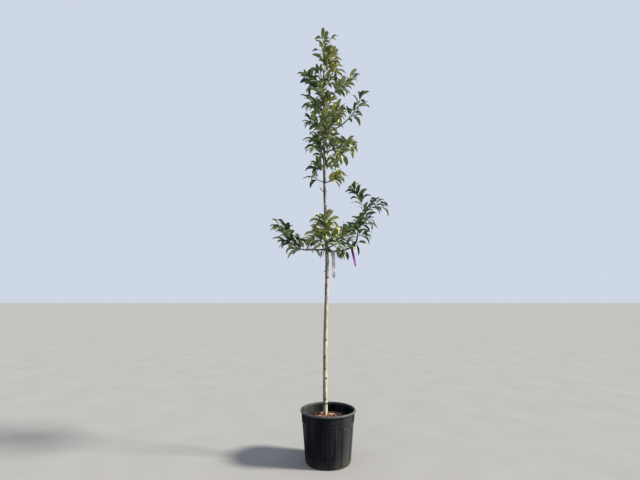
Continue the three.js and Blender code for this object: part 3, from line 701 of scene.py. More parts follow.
def stub(height, azimuth, rise, length):
    line = grow_line(stem_at(height), azimuth, 0, (rise, rise + STUB_LIFT), length, STUB_STEPS)
    radii = [STUB_RADIUS - STUB_TAPER * ring / STUB_STEPS for ring in range(STUB_STEPS + 1)]
    places = np.linspace(0, length, STUB_STEPS + 1)
    relief = bark_relief(places, STUB_SIDES, dice(round(height)), STUB_WAVES, STUB_SCARS,
                         STUB_SCAR_SWELLING)
    return sweep([point for point, way in line], radii, STUB_SIDES, relief)


dead_wood, dead_shader = new_finish("dead_wood", (0.02, 0.014, 0.01), 0.9)
feed(dead_wood, shades(dead_wood, grain(dead_wood, 0.003, detail=4), *DEAD_WOOD),
     dead_shader.inputs["Base Color"])
roughen(dead_wood, dead_shader, grain(dead_wood, 0.0015, detail=3), 0.0006)
knots = make_piece("pruning_knots", joined([knot(*place) for place in KNOTS]), dead_wood)
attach(knots, "root")
for index, place in enumerate(STUBS):
    cut_shoot = make_piece(f"pruned_stub_{index + 1}_bark", stub(*place), stem_bark)
    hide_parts(f"pruned_stub_{index + 1}")
    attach(cut_shoot, "root")

# The boughs are last year's side shoots, olive-brown and thin as a finger. They leave the stem
# from a collar of bark and bend upwards to the light. Five of them form the low whorl.
BOUGH_TAPER = 0.8                       # a stretch's end radius, of its start radius
BOUGH_SIDES = 14
BOUGH_STEP = 4
BOUGH_SEED = 900
BOUGH_WAVES = 0.35
BOUGH_SCARS = (14, 26)
BOUGH_SCAR_SWELLING = 0.55
FOOT_SWELLING = 0.55                    # of the radius, where a bough leaves the stem
FOOT_FADE = 7
LOW_BOUGH = ((0.085, 0.062, 0.038), (0.17, 0.135, 0.08))
HIGH_BOUGH = ((0.075, 0.052, 0.036), (0.14, 0.10, 0.065))
BOUGH_FADE = (1.4, 3.0)                 # metres
BOUGH_PORES = (0.30, 0.25, 0.16)
BOUGH_SHOOT_BARE = 0.1                  # the share of its shoot that has no leaves, at its foot

# A bough has one or two stretches, each with its rise at foot and tip, and its length. The values
# after them are for the leafy shoot that it carries: its internode is the distance from joint to
# joint, and a fork has its place along the shoot, its azimuth, its rise at foot and tip, and its
# length.
LIMBS = [
    dict(name="low_left", height=1512, azimuth=181, turn=-3, bough=[((-4, 0), 150)],
         rise=(0, 92), length=282, internode=15, radius=6.5, seed=11,
         forks=[(0.04, 20, 62, 70, 62), (0.06, -30, 20, 10, 48), (0.12, 205, 0, -25, 56),
                (0.22, 168, 70, 62, 66), (0.36, 215, 25, -10, 66), (0.5, 176, 30, 12, 62),
                (0.66, 150, 62, 70, 60), (0.97, 180, 22, -8, 56)]),
    dict(name="low_right", height=1500, azimuth=-2, turn=0, bough=[((-10, 28), 200), ((28, 86), 80)],
         rise=(86, 58), length=242, internode=15, radius=7.5, seed=22,
         forks=[(0.04, 172, 12, 30, 66), (0.08, -10, 15, -15, 50), (0.24, 200, 30, 20, 60),
                (0.42, -20, 20, -5, 56), (0.62, -40, 10, -20, 56), (0.98, 180, 56, 70, 190),
                (0.98, -6, 40, -16, 122), (0.03, 190, -55, -85, 52)]),
    dict(name="low_front", height=1478, azimuth=-96, turn=4, bough=[((12, 38), 105)],
         rise=(38, 86), length=225, internode=16, radius=7, seed=33,
         forks=[(0.04, -95, 0, -60, 74), (0.06, 192, 12, 20, 88), (0.14, -34, 5, 20, 84),
                (0.3, 172, 30, 45, 76), (0.4, -60, 10, 10, 60), (0.5, -12, 30, 30, 50),
                (0.7, 190, 50, 20, 50), (0.82, 0, 30, 10, 44)]),
    dict(name="low_front_right", height=1522, azimuth=-38, turn=8, bough=[((8, 22), 72)],
         rise=(22, 74), length=140, internode=16, radius=5.5, seed=44,
         forks=[(0.1, -12, -20, -50, 84), (0.3, -80, -20, -50, 60), (0.5, 20, 20, 0, 50)]),
    dict(name="low_back", height=1556, azimuth=97, turn=-8, bough=[((14, 34), 140)],
         rise=(34, 82), length=205, internode=18, radius=6.5, seed=55,
         forks=[(0.08, 172, 15, 36, 90), (0.2, 22, 10, 20, 80), (0.5, 130, 40, 50, 60)]),
    dict(name="thin_left", height=2050, azimuth=178, turn=0, bough=[((14, 22), 46)],
         rise=(22, 74), length=56, internode=13, radius=3.6, seed=66, forks=[]),
    dict(name="mid_right", height=2292, azimuth=-6, turn=4, bough=[((30, 18), 62)],
         rise=(18, 20), length=148, internode=15, radius=6, seed=88,
         forks=[(0.12, -60, -50, -80, 76), (0.06, 4, 66, 72, 66), (0.3, -40, -45, -80, 96),
                (0.48, 36, 30, 40, 60), (0.5, -60, -15, -60, 76), (0.8, -30, -20, -50, 56),
                (0.86, 10, 20, 10, 40)]),
    dict(name="long_right", height=2474, azimuth=-1, turn=0, bough=[((8, 44), 196)],
         rise=(44, 74), length=262, internode=24, radius=6, seed=110,
         forks=[(0.28, 12, 15, -10, 40), (0.6, -8, 30, 0, 40)]),
    dict(name="upper_left", height=2770, azimuth=181, turn=0, bough=[((58, 48), 66)],
         rise=(48, 58), length=180, internode=19, radius=4.6, seed=121,
         forks=[(0.1, 165, 66, 40, 92)]),
    dict(name="upper_right", height=2764, azimuth=1, turn=0, bough=[((44, 28), 74)],
         rise=(28, 50), length=240, internode=18, radius=4.6, seed=132,
         forks=[(0.12, 30, 50, 60, 60), (0.3, -38, 10, 0, 52)]),
]


def bough_shape(line, radius, seed, on_stem):
    """A stretch of a bough, swollen into a collar where it leaves the stem."""
    steps = len(line) - 1
    shares = np.arange(steps + 1) / steps
    radii = radius * (1 - (1 - BOUGH_TAPER) * shares)
    along = [(point - line[0][0]).length for point, way in line]
    if on_stem:
        bark_face = stem_radius(line[0][0].z)
        radii = [each * (1 + FOOT_SWELLING * math.exp(-max(reach - bark_face, 0) / FOOT_FADE))
                 for each, reach in zip(radii, along)]
    relief = bark_relief(np.array(along), BOUGH_SIDES, dice(seed + BOUGH_SEED), BOUGH_WAVES,
                         BOUGH_SCARS, BOUGH_SCAR_SWELLING)
    return sweep([point for point, way in line], radii, BOUGH_SIDES, relief)


boughs = []
shoots = []
for limb in LIMBS:
    start, azimuth, radius = stem_at(limb["height"]), limb["azimuth"], limb["radius"]
    for stretch, (rise, length) in enumerate(limb["bough"]):
        line = grow_line(start, azimuth, limb["turn"], rise, length, round(length / BOUGH_STEP))
        boughs.append(bough_shape(line, radius, limb["seed"] + stretch, stretch == 0))
        start, radius = line[-1][0], radius * BOUGH_TAPER
        azimuth += limb["turn"]
    shoots.append(dict(limb, start=start, azimuth=azimuth, radius=radius, bare=BOUGH_SHOOT_BARE))
young_bark = bark("bough_bark", LOW_BOUGH, HIGH_BOUGH, BOUGH_FADE, BOUGH_PORES, 0.5)
bough_piece = make_piece("boughs", joined(boughs), young_bark)
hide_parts(*[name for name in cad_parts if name.startswith("bough_")])
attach(bough_piece, "root")

# Leafy shoots of this year, brown by autumn, carry on from the boughs, and from the stem's tip as
# the leader. More of them grow straight from the stem, as spurs and as short twigs wound up it.
# All bear short leafy spurs of their own, and most of the longer ones fork.
SPUR_VALUES = ("name", "height", "azimuth", "rise", "length", "internode", "radius", "seed", "forks")
SPURS = [
    ("spur_right", 2046, -8, (4, 46), 122, 9, 5, 77, []),
    ("mid_back", 2190, 70, (10, 44), 112, 14, 4.5, 211, [(0.3, 20, 0, -30, 40)]),
    ("spur_left", 2146, 182, (12, 46), 66, 11, 4.5, 78, [(0.5, 205, -10, -50, 40)]),
    ("mid_left", 2316, 178, (40, 56), 116, 14, 5, 99, [(0.4, 196, 5, -15, 48)]),
    ("crown_left", 2476, 184, (34, 38), 132, 15, 5, 154, [(0.4, 160, 40, 60, 50)]),
    ("crown_left_top", 2664, 178, (34, 42), 145, 17, 4.6, 155, [(0.4, 215, 5, -10, 56)]),
    ("crown_right", 2592, -4, (22, 40), 146, 15, 4.6, 156,
     [(0.3, -30, 0, -30, 74), (0.5, 30, 20, 10, 56)]),
    ("crown_back", 2400, 84, (18, 64), 232, 16, 5, 165,
     [(0.3, 140, 30, 40, 66), (0.5, 24, 16, 26, 84)]),
    ("crown_front", 2410, -82, (18, 64), 212, 16, 5, 176,
     [(0.3, -140, 20, 35, 64), (0.45, -14, 16, 30, 92)]),
    ("crown_back_top", 2650, 112, (22, 60), 192, 16, 4.4, 187, [(0.4, 60, 25, 30, 56)]),
    ("crown_front_top", 2690, -104, (20, 60), 176, 16, 4.2, 198, [(0.4, -40, 20, 30, 52)]),
    ("top_right", 3000, -10, (46, 78), 176, 12, 3.8, 143,
     [(0.12, -50, 0, -60, 60), (0.3, -10, -10, -60, 80), (0.5, 30, 20, -30, 52)]),
]
SPUR_BARE = 0.25
LEADER = dict(name="leader", start=stem_at(STEM_TOP), azimuth=180, rise=(88.5, 88.5), length=238,
              internode=22, bare=0.05, radius=stem_radius(STEM_TOP), seed=7,
              forks=[(0.45, 186, 30, 0, 34), (0.78, -4, 44, 10, 48)])
TWIGS = 12
TWIG_LOWEST = 2230
TWIG_HIGHEST = 3030
TWIG_FIRST_AZIMUTH = 230
TWIG_LENGTH = 90
TWIG_SHORTER = 24                       # how much shorter the top ones are
TWIG_RISE = (30, 62)                    # degrees, at foot and tip
TWIG_RADIUS = 3.4
TWIG_INTERNODE = 12
TWIG_BARE = 0.3
TWIG_SEED = 300
LEAF_TURN = 137.5                       # degrees round a shoot from leaf to leaf
SHOOT_STEP = 6
SHOOT_SIDES = 8
TIP_RADIUS = 1.3
THINNEST_FORK = 1.9
FORK_THINNER = 0.62
FORK_BARE = 0.25
FIRST_TURN = 50                         # degrees, for each step of the seed
FORK_TURN = 31
NEXT_FORK_TURN = 77
JOINT_SWELLING = 0.16                   # of the radius
JOINT_WIDTH = 0.2                       # of the way from joint to joint
ZIGZAG = 0.9                            # how far a shoot swings out at a joint

shoots.append(LEADER)
for values in SPURS:
    spur = dict(zip(SPUR_VALUES, values))
    shoots.append(dict(spur, start=stem_at(spur["height"]), bare=SPUR_BARE))
for twig in range(TWIGS):
    up = twig / (TWIGS - 1)
    shoots.append(dict(
        name=f"twig_{twig + 1}", start=stem_at(TWIG_LOWEST + (TWIG_HIGHEST - TWIG_LOWEST) * up),
        azimuth=TWIG_FIRST_AZIMUTH + twig * LEAF_TURN, rise=TWIG_RISE,
        length=TWIG_LENGTH - TWIG_SHORTER * up, internode=TWIG_INTERNODE, bare=TWIG_BARE,
        radius=TWIG_RADIUS, seed=TWIG_SEED + twig, forks=[]))


def shoot_runs(shoot):
    """A shoot and its forks, each with its length, its radius, the share of it that is bare at its
    foot and its first leaf's turn."""
    length, radius = shoot["length"], shoot["radius"]
    steps = round(length / SHOOT_STEP)
    line = grow_line(shoot["start"], shoot["azimuth"], 0, shoot["rise"], length, steps)
    runs = [(line, length, radius, shoot["bare"], shoot["seed"] * FIRST_TURN)]
    for index, (at, azimuth, foot_rise, tip_rise, reach) in enumerate(shoot["forks"]):
        ring = min(steps - 1, math.floor(at * steps))
        base = line[ring][0].lerp(line[ring + 1][0], at * steps - ring)
        fork = grow_line(base, azimuth, 0, (foot_rise, tip_rise), reach, round(reach / SHOOT_STEP))
        thick = max(THINNEST_FORK, (radius + (TIP_RADIUS - radius) * at) * FORK_THINNER)
        first_turn = shoot["seed"] * FORK_TURN + index * NEXT_FORK_TURN
        runs.append((fork, reach, thick, FORK_BARE, first_turn))
    return runs


def shoot_shape(line, radius, tip, internode, roll):
    """A thin shoot that swings out a little at each joint, where it is swollen, and each time to
    another side."""
    count = len(line)
    length = sum((line[ring + 1][0] - line[ring][0]).length for ring in range(count - 1))
    points = []
    radii = []
    turn = 6 * next(roll)
    for ring, (point, way) in enumerate(line):
        share = ring / (count - 1)
        leaf = share * length / internode
        side = way.orthogonal()
        side.rotate(Quaternion(way, turn + math.radians(LEAF_TURN) * math.floor(leaf)))
        swing = ZIGZAG * math.sin(math.pi * (leaf % 1)) * min(1, 4 * share)
        points.append(point + side * swing)
        swelling = 1 + JOINT_SWELLING * math.exp(-((leaf % 1 - 0.5) / JOINT_WIDTH) ** 2)
        radii.append((radius + (tip - radius) * share) * swelling)
    return sweep(points, radii, SHOOT_SIDES)


# Leaves stand singly round the shoots. Each is lance-shaped on a short stalk, folded along its
# midrib and wavy at its edge, and it bends over under its own weight. Most are still green, and
# some, mainly on the sunny side, have turned yellow-green, yellow or rust for the autumn. A pale
# green is dealt out more where the sun falls, as painted light, and a dark green more in shade,
# as painted shade.
LEAVES_TO_A_JOINT = 1.2                 # on average
LEAF_LENGTH = 113
SHORTEST_LEAF = 0.78                    # of the leaf length
LEAF_LENGTH_RANGE = 0.36
TIP_FROM = 0.9                          # the share of a shoot where its tip begins
TIP_LEAF = 0.72                         # a leaf's length there, of another's
LEAF_WIDTH = 0.33                       # of its length
LEAF_SPREAD = 58                        # degrees between a shoot and its leaf
SPREAD_RANGE = 16                       # degrees
TIP_SPREAD_LOSS = 0.45                  # how much of the spread is lost up to the tip
TURN_RANGE = 40                         # degrees that a leaf's turn is uneven by
LEAF_DROOP = 60                         # degrees that a leaf bends down over its length
LEAST_DROOP = 0.65                      # of that
LEAF_DROOP_RANGE = 0.7
STEEPEST_FALL = -82                     # degrees
LEAF_LIFT = 0.33                        # how much a leaf's start turns up to the light
LEAF_ROLL = 150                         # degrees that a leaf's face turns about it
LEAF_FACING = 60                        # degrees that a leaf's face looks up
LEAF_TRIES = (0, 48, -48, 96, -96, 180)     # degrees that it is turned on by, to clear the stem
STEM_CLEARANCE = 5
TESTED_STATIONS = 8                     # places along its midrib
NEAR_STATIONS = 3                       # the first of them, which may be close to the bark
STALK_SHARE = 0.13                      # of a leaf's length
STALK_RADII = (1.15, 0.85)
MIDRIB_RADIUS = 0.7
MIDRIB_THINNER = 0.06                   # from ring to ring
RIB_STATIONS = 9
RIB_SIDES = 4
LEAF_STATIONS = 13
BLADE_LINES = (-1, -0.55, 0, 0.55, 1)   # places across it, of the half width
LEAF_WIDTHS = (0.86, 1.12)              # of the leaf width
LEAF_FOLD = 0.5                         # how far the edges stand up, of the half width
LEAF_FOLDS = (0.5, 1.3)                 # of that
LEAF_BELLY = 0.10                       # how far either half sags, of the half width
LEAF_VEIN = 0.035                       # how high every other station is, of the half width
LEAF_WAVES = 2.6                        # over its length
LEAF_WAVE_HEIGHT = 0.13                 # of the half width
LEAF_WAVE_HEIGHTS = (0.4, 1.4)          # of that
LEAF_TWIST = 34                         # degrees over its length
SHORT_SPUR_EVERY = 3                    # leaves
SHORT_SPUR_LENGTHS = (16, 34)
SHORT_SPUR_TURN = 90                    # degrees on round the shoot from its leaf
SHORT_SPUR_LIFT = 20                    # degrees
SHORT_SPUR_STEPS = 4
SHORT_SPUR_RADII = (1.5, 1)
SHORT_SPUR_JOINTS = 8                   # millimetres apart
SHORT_SPUR_SPREADS = (30, 60)           # degrees
SMALL_LEAF = 0.86                       # a spur leaf's length, of a shoot leaf's
LEAF_SEED = 8650
SPRAY_SHARE = 0.25                      # how much a leaf's tint follows its spray's
SUNNY_FROM = -0.2                       # how far right a shoot must point to be a sunny one
# The pale "light" tint stands partly for leaves in sunlight, as painted light, and the dark "deep" tint
# partly for leaves in shade, as painted shade.
TINTS = {
    "deep": (0.046, 0.082, 0.046),
    "green": (0.190, 0.248, 0.112),
    "light": (0.330, 0.370, 0.195),
    "turning": (0.42, 0.410, 0.120),
    "yellow": (0.46, 0.370, 0.110),
    "rust": (0.54, 0.32, 0.075),
}
RIB_GREEN = (0.16, 0.18, 0.055)
# Shoots that point to the sunny right get more of the light tint, as painted light, and those on the
# shady left more of the deep tint, as painted shade.
SUNNY_MIX = dict(deep=0.09, green=0.33, light=0.46, yellow=0.10, rust=0.02)
SHADY_MIX = dict(deep=0.32, green=0.40, light=0.25, yellow=0.02, rust=0.01)
# Some masses have mixes of their own, besides their autumn tints: more of the deep tint where they lie
# in shade, as painted shade, and more of the light tint where they catch the sun, as painted light.
MIXES = {
    "top_right": dict(deep=0.06, green=0.22, light=0.22, turning=0.20, yellow=0.12, rust=0.18),
    "low_front": dict(deep=0.13, green=0.26, light=0.22, turning=0.32, yellow=0.07),
    "low_front_right": dict(deep=0.04, green=0.24, light=0.50, turning=0.20, yellow=0.02),
    "spur_right": dict(deep=0.10, green=0.26, light=0.30, turning=0.30, yellow=0.04),
    "mid_right": dict(deep=0.12, green=0.36, light=0.34, turning=0.16, yellow=0.02),
    "crown_right": dict(deep=0.10, green=0.28, light=0.30, turning=0.14, yellow=0.10, rust=0.08),
    "low_right": dict(deep=0.55, green=0.27, light=0.17, yellow=0.01),
    "low_left": dict(deep=0.50, green=0.28, light=0.21, yellow=0.01),
    "long_right": dict(deep=0.56, green=0.36, light=0.08),
    "leader": dict(deep=0.12, green=0.36, light=0.46, turning=0.06),
}
LOW_SHOOT = ((0.075, 0.060, 0.028), (0.14, 0.12, 0.055))
HIGH_SHOOT = ((0.062, 0.050, 0.026), (0.12, 0.10, 0.05))
SHOOT_FADE = (1.5, 3.2)                 # metres
SHOOT_PORES = (0.26, 0.23, 0.13)


def leaf_places(line, length, internode, bare, first_turn, roll):
    """The places for leaves along a shoot, each turned on round it from the last."""
    rings = len(line) - 1
    count = max(1, math.floor(LEAVES_TO_A_JOINT * length * (1 - bare) / internode))
    places = []
    for index in range(count + 1):
        share = bare + (1 - bare) * index / count
        ring = min(rings - 1, math.floor(share * rings))
        root = line[ring][0].lerp(line[ring + 1][0], share * rings - ring)
        size = TIP_LEAF if share > TIP_FROM else 1
        places.append(dict(
            root=root, along=line[ring][1], index=index,
            turn=first_turn + index * LEAF_TURN + TURN_RANGE * (next(roll) - 0.5),
            spread=LEAF_SPREAD * (1 - TIP_SPREAD_LOSS * share) + SPREAD_RANGE * (next(roll) - 0.5),
            droop=LEAF_DROOP * (LEAST_DROOP + LEAF_DROOP_RANGE * next(roll)),
            roll=LEAF_ROLL * (next(roll) - 0.5),
            length=LEAF_LENGTH * (SHORTEST_LEAF + LEAF_LENGTH_RANGE * next(roll)) * size))
    return places


def grow_leaf(place, extra_turn):
    """A leaf leaves its shoot at an angle and bends over under its weight."""
    side = place["along"].cross(Vector((0, 1, 0.2))).normalized()
    lift = side.cross(place["along"])
    angle = math.radians(place["turn"] + extra_turn)
    spread_angle = math.radians(place["spread"])
    out = (place["along"] * math.cos(spread_angle)
           + side * (math.cos(angle) * math.sin(spread_angle))
           + lift * (math.sin(angle) * math.sin(spread_angle)))
    out.z += LEAF_LIFT
    out.normalize()
    fall = max(STEEPEST_FALL, math.degrees(math.asin(out.z)) - place["droop"])
    azimuth = math.degrees(math.atan2(out.y, out.x))
    return dict(root=place["root"], out=out, down=direction(azimuth, fall),
                upward=direction(azimuth + place["roll"], LEAF_FACING), length=place["length"])


def midrib(leaf, stations):
    """Points along a leaf's midrib with the way that each faces."""
    points = [Vector(leaf["root"])]
    ways = []
    step = leaf["length"] / (stations - 1)
    for station in range(stations):
        share = station / (stations - 1)
        way = leaf["out"].lerp(leaf["down"], 1.5 * share - 0.25).normalized()
        ways.append(way)
        if station:
            points.append(points[-1] + (ways[-2] + way).normalized() * step)
    return points, ways


def clear_of_stem(leaf):
    """Whether the outer part of a leaf's midrib stays off the bark."""
    points, _ = midrib(leaf, TESTED_STATIONS)
    for point in points[NEAR_STATIONS:]:
        if SOIL_TOP < point.z < STEM_TOP:
            middle = stem_at(point.z)
            away = math.hypot(point.x - middle.x, point.y - middle.y)
            if away < stem_radius(point.z) + STEM_CLEARANCE:
                return False
    return True


def half_width(share):
    """The outline of a blade from its foot to its tip, at most 1."""
    return 3.15 * share ** 0.75 * (1 - share) ** 0.92 if 0 < share < 1 else 0


def blade_shape(leaf, roll):
    """A blade of five lines of points, folded up along the midrib, with a waving edge."""
    points, ways = midrib(leaf, LEAF_STATIONS)
    along = (leaf["out"] + leaf["down"]).normalized()
    sideways = along.cross(leaf["upward"]).normalized()
    twist = math.radians(LEAF_TWIST) * (next(roll) - 0.5) * 2
    phases = [6.3 * next(roll), 6.3 * next(roll)]
    fold = LEAF_FOLD * between(roll, *LEAF_FOLDS)
    wave = LEAF_WAVE_HEIGHT * between(roll, *LEAF_WAVE_HEIGHTS)
    width = leaf["length"] * LEAF_WIDTH / 2 * between(roll, *LEAF_WIDTHS)
    corners = []
    for station in range(LEAF_STATIONS):
        share = station / (LEAF_STATIONS - 1)
        way = ways[station]
        side = (sideways - way * sideways.dot(way)).normalized()
        side.rotate(Quaternion(way, twist * (share - 0.2)))
        face = side.cross(way)
        half = width * half_width(share)
        for across in BLADE_LINES:
            beside = abs(across)
            edge = math.sin(2 * math.pi * LEAF_WAVES * share + phases[across > 0])
            belly = LEAF_BELLY * math.sin(math.pi * beside)
            lift = fold * beside - belly + wave * edge * beside ** 2
            vein = LEAF_VEIN * (station % 2) * (0 < beside < 1)
            corners.append(points[station] + side * (across * half) + face * ((lift + vein) * half))
    faces = []
    lines = len(BLADE_LINES)
    for station in range(LEAF_STATIONS - 1):
        for low in range(station * lines, (station + 1) * lines - 1):
            faces.append((low, low + 1, low + 1 + lines, low + lines))
    return corners, faces


def rib_shape(leaf):
    """The stalk, which runs on along the blade as its midrib."""
    points, _ = midrib(leaf, RIB_STATIONS)
    stalk = [leaf["root"] - leaf["out"] * (leaf["length"] * STALK_SHARE), *points[:-1]]
    radii = [MIDRIB_RADIUS - MIDRIB_THINNER * ring for ring in range(RIB_STATIONS - 2)]
    return sweep(stalk, [*STALK_RADII, *radii], RIB_SIDES)


def leafed(place, roll):
    """A place's leaf as a blade and a stalk, turned clear of the stem, or none."""
    for extra_turn in LEAF_TRIES:
        whole = grow_leaf(place, extra_turn)
        if clear_of_stem(whole):
            stalk = whole["length"] * STALK_SHARE
            blade = dict(whole, root=whole["root"] + whole["out"] * stalk,
                         length=whole["length"] - stalk)
            return blade_shape(blade, roll), rib_shape(blade)
    return None


def short_spur(place, roll):
    """A stub of growth where a leaf stands, and the places of the two leaves at its end."""
    reach = between(roll, *SHORT_SPUR_LENGTHS)
    way = grow_leaf(place, SHORT_SPUR_TURN)["out"]
    azimuth = math.degrees(math.atan2(way.y, way.x))
    rise = math.degrees(math.asin(way.z))
    line = grow_line(place["root"], azimuth, 0, (rise, rise + SHORT_SPUR_LIFT), reach, SHORT_SPUR_STEPS)
    shape = shoot_shape(line, *SHORT_SPUR_RADII, SHORT_SPUR_JOINTS, roll)
    places = [dict(place, root=root, along=along, turn=360 * next(roll),
                   spread=between(roll, *SHORT_SPUR_SPREADS),
                   roll=LEAF_ROLL * (next(roll) - 0.5), length=place["length"] * SMALL_LEAF)
              for root, along in (line[-1], line[-2])]
    return shape, places


def pick(mix, share):
    """The tint that a share between 0 and 1 falls on in a mix."""
    for tint, weight in mix.items():
        share -= weight
        if share < 0:
            return tint
    return "green"


def leaf_skin(tint, colour):
    """A leathery leaf, a little uneven in colour and gloss."""
    finish, shader = new_finish(f"{tint}_leaf", colour, 0.45)
    cloud = grain(finish, 0.03, detail=4)
    darker = [0.72 * part for part in colour]
    lighter = [1.25 * part for part in colour]
    feed(finish, shades(finish, cloud, darker, lighter), shader.inputs["Base Color"])
    feed(finish, spread(finish, cloud, 0.3, 0.7, 0.38, 0.52), shader.inputs["Roughness"])
    roughen(finish, shader, grain(finish, 0.004, detail=3), 0.0004, 0.5)
    return finish


blades = {tint: [] for tint in TINTS}
ribs = []
stalks = []
for shoot in shoots:
    roll = dice(shoot["seed"])
    extra = dice(shoot["seed"] + LEAF_SEED)
    # A sunny shoot takes a mix with more of the pale tint, as painted light, and a shady one more of the
    # dark tint, as painted shade.
    sunny = math.cos(math.radians(shoot["azimuth"])) > SUNNY_FROM
    mix = MIXES.get(shoot["name"], SUNNY_MIX if sunny else SHADY_MIX)
    for line, length, radius, bare, first_turn in shoot_runs(shoot):
        stalks.append(shoot_shape(line, radius, TIP_RADIUS, shoot["internode"], extra))
        spray = next(extra)
        for place in leaf_places(line, length, shoot["internode"], bare, first_turn, roll):
            places = [place]
            if place["index"] % SHORT_SPUR_EVERY == 1:
                spur, spur_places = short_spur(place, extra)
                stalks.append(spur)
                places += spur_places
            for leaf_place in places:
                grown = leafed(leaf_place, extra)
                if grown:
                    share = ((1 - SPRAY_SHARE) * next(extra) + SPRAY_SHARE * spray) % 1
                    blades[pick(mix, share)].append(grown[0])
                    ribs.append(grown[1])

shoot_bark = bark("shoot_bark", LOW_SHOOT, HIGH_SHOOT, SHOOT_FADE, SHOOT_PORES, 0.4)
masses = [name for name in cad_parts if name.startswith("foliage_")]
foliage = [make_piece("leafy_shoots", joined(stalks), shoot_bark),
           make_piece("leaf_stalks", joined(ribs), leaf_skin("rib", RIB_GREEN))]
for tint, colour in TINTS.items():
    skin = leaf_skin(tint, colour)
    foliage.append(make_piece(f"{tint}_leaves", joined(blades[tint]), skin, sharp=70))
for piece in foliage:
    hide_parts(*masses)
    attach(piece, "root")

# A blank label strip of pale plastic and a magenta ribbon are tied round the low right bough,
# each as one loop with a long tail that hangs down in front and curls a little.
TIES = [                                # its place along the bough, and its tail's sway and drop
    dict(name="label_band", node="label_strip", slot="label_plastic", colour=(0.60, 0.57, 0.56),
         along=49, width=25, slant=0.02, crumple=0.5, seed=71,
         tail=[(0, 0), (0, -30), (3, -90), (-2, -160), (6, -208)]),
    dict(name="ribbon_band", node="ribbon", slot="ribbon_plastic", colour=(0.15, 0.008, 0.16),
         along=195, width=18, slant=0.2, crumple=0.9, seed=72,
         tail=[(0, 0), (0, -30), (-2, -80), (2, -152)]),
]
TIE_THICKNESS = 0.9
TIE_SLACK = 1.6
TIE_STEPS = 20                          # along the bough to the tie
LOOP_STATIONS = 28
TAIL_STATIONS = 36
TAIL_TWISTS = 3
TAIL_RIPPLES = 7
TAIL_RIPPLE = 2.2
TAIL_TIP = 0.16                         # the share of the tail that narrows to its end
TAIL_TIP_LOSS = 0.85
BAND_LINES = (-1, -0.5, 0, 0.5, 1)      # places across a band, of its half width


def curve_at(points, share):
    """A point on a smooth curve through points, at a share of the way."""
    last = len(points) - 1
    span = min(int(share * last), last - 1)
    part = share * last - span
    before, start = points[max(span - 1, 0)], points[span]
    end, after = points[span + 1], points[min(span + 2, last)]
    return [0.5 * (2 * b + (c - a) * part + (2 * a - 5 * b + 4 * c - d) * part ** 2
                   + (3 * b - a - 3 * c + d) * part ** 3)
            for a, b, c, d in zip(before, start, end, after)]


def band(stations):
    """A thin band through stations, each with its middle, its half width and its face's way."""
    points = []
    faces = []
    for middle, half, face in stations:
        points += [middle + half * line + face * (TIE_THICKNESS / 2) for line in BAND_LINES]
        points += [middle + half * line - face * (TIE_THICKNESS / 2) for line in reversed(BAND_LINES)]
    around = 2 * len(BAND_LINES)
    for low in range(0, len(points) - around, around):
        faces += ring_faces(low, low + around, around)
    faces.append(tuple(range(around - 1, -1, -1)))
    faces.append(tuple(range(len(points) - around, len(points))))
    return points, faces


def tie_shape(tie):
    """The loop round the low right bough, and the tail that hangs from its front."""
    limb = next(limb for limb in LIMBS if limb["name"] == "low_right")
    (low_rise, high_rise), length = limb["bough"][0]
    share = tie["along"] / length
    line = grow_line(stem_at(limb["height"]), limb["azimuth"], 0,
                     (low_rise, low_rise + (high_rise - low_rise) * share), tie["along"], TIE_STEPS)
    point, way = line[-1]
    reach = limb["radius"] * (1 - (1 - BOUGH_TAPER) * share) + TIE_SLACK + TIE_THICKNESS / 2
    across = (Vector((0, 1, 0)) - way * way.y).normalized()
    lift = way.cross(across)
    loop = []
    for station in range(LOOP_STATIONS + 1):
        angle = 2 * math.pi * station / LOOP_STATIONS
        out = across * math.cos(angle) + lift * math.sin(angle)
        loop.append((point + out * reach, way * (tie["width"] / 2), out))
    start = 10 * next(dice(tie["seed"]))
    tail = []
    for station in range(TAIL_STATIONS):
        part = station / (TAIL_STATIONS - 1)
        sway, drop = curve_at(tie["tail"], part)
        twist = tie["crumple"] * noise.noise(Vector((start, part * TAIL_TWISTS, 0))) * part ** 0.5
        ripple = TAIL_RIPPLE * tie["crumple"] * noise.noise(Vector((start, part * TAIL_RIPPLES, 5)))
        middle = point + Vector((-tie["slant"] * drop, sway - reach + ripple, drop))
        half = Vector((math.cos(twist), math.sin(twist), 0)) * (tie["width"] / 2)
        narrow = 1 - TAIL_TIP_LOSS * max(0, (part - (1 - TAIL_TIP)) / TAIL_TIP) ** 2
        tail.append((middle, half * narrow, Vector((-math.sin(twist), math.cos(twist), 0))))
    return joined([band(loop), band(tail)])


def thin_plastic(name, colour):
    """Creased plastic film."""
    finish, shader = new_finish(name, colour, 0.42)
    creases = grain(finish, 0.02, (1, 1, 0.4), 5)
    lighter = [min(1, 1.3 * part) for part in colour]
    darker = [0.7 * part for part in colour]
    feed(finish, shades(finish, creases, darker, lighter), shader.inputs["Base Color"])
    roughen(finish, shader, creases, 0.0012, 0.7)
    return finish


for tie in TIES:
    tied = make_piece(tie["name"], tie_shape(tie), thin_plastic(tie["name"], tie["colour"]))
    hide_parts(tie["node"])
    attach(tied, "root")

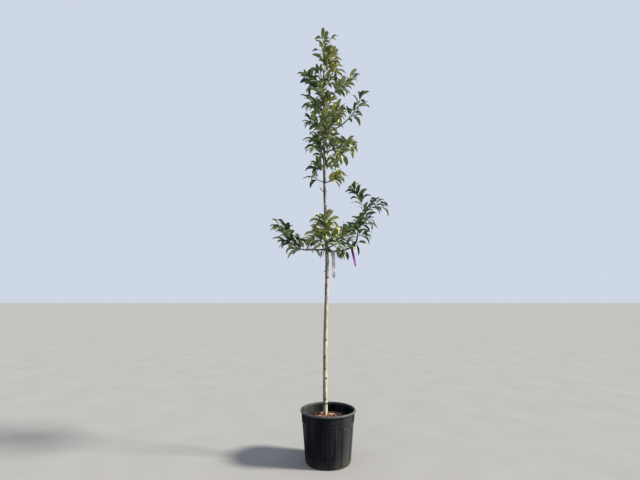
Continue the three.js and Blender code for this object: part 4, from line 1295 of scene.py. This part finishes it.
# The pot stands on a plain pale floor under an open, softly lit sky. A broad light stands in for
# the hazy sun, to the right and a little in front, and a faint one in front lightens the shadows.
FLOOR_REACH = 200_000
FLOOR_LEVEL = -0.5                      # just clear of the pot's underside
FLOOR_GREYS = ((0.290, 0.285, 0.275), (0.310, 0.305, 0.295))
SKY = (0.80, 0.87, 1.0)
SKY_STRENGTH = 0.67
SUN_PLACE = (-10, 33)                   # azimuth and height, in degrees
SUN_SOFTNESS = 10                       # degrees
SUN_STRENGTH = 6.2
SUNLIGHT = (1.0, 0.95, 0.86)
FILL_PLACE = (-105, 12)
FILL_SOFTNESS = 90
FILL_STRENGTH = 0.3


def hang_lamp(name, place, softness, strength, colour):
    """A far-off light that shines from an azimuth and a height in degrees."""
    lamp = bpy.data.lights.new(name, "SUN")
    lamp.energy = strength
    lamp.angle = math.radians(softness)
    lamp.color = colour
    light = bpy.data.objects.new(name, lamp)
    light.rotation_euler = (-direction(*place)).to_track_quat("-Z", "Y").to_euler()
    bpy.context.scene.collection.objects.link(light)


floor_finish, floor_shader = new_finish("pale_floor", (0.3, 0.295, 0.285), 0.85)
feed(floor_finish, shades(floor_finish, grain(floor_finish, 0.4, detail=6), *FLOOR_GREYS, 0.3, 0.7),
     floor_shader.inputs["Base Color"])
floor_shader.inputs["Specular IOR Level"].default_value = 0
floor_corners = [(FLOOR_REACH * x, FLOOR_REACH * y, FLOOR_LEVEL)
                 for x, y in ((-1, -1), (1, -1), (1, 1), (-1, 1))]
floor = make_piece("pale_floor", (floor_corners, [(0, 1, 2, 3)]), floor_finish)

sky = bpy.data.worlds.new("open_sky")
sky.use_nodes = True
sky.node_tree.nodes["Background"].inputs["Color"].default_value = (*SKY, 1)
sky.node_tree.nodes["Background"].inputs["Strength"].default_value = SKY_STRENGTH
bpy.context.scene.world = sky
bpy.context.scene.view_settings.view_transform = "Standard"
bpy.context.scene.view_settings.look = "Medium High Contrast"
hang_lamp("hazy_sun", SUN_PLACE, SUN_SOFTNESS, SUN_STRENGTH, SUNLIGHT)
hang_lamp("front_fill", FILL_PLACE, FILL_SOFTNESS, FILL_STRENGTH, SKY)
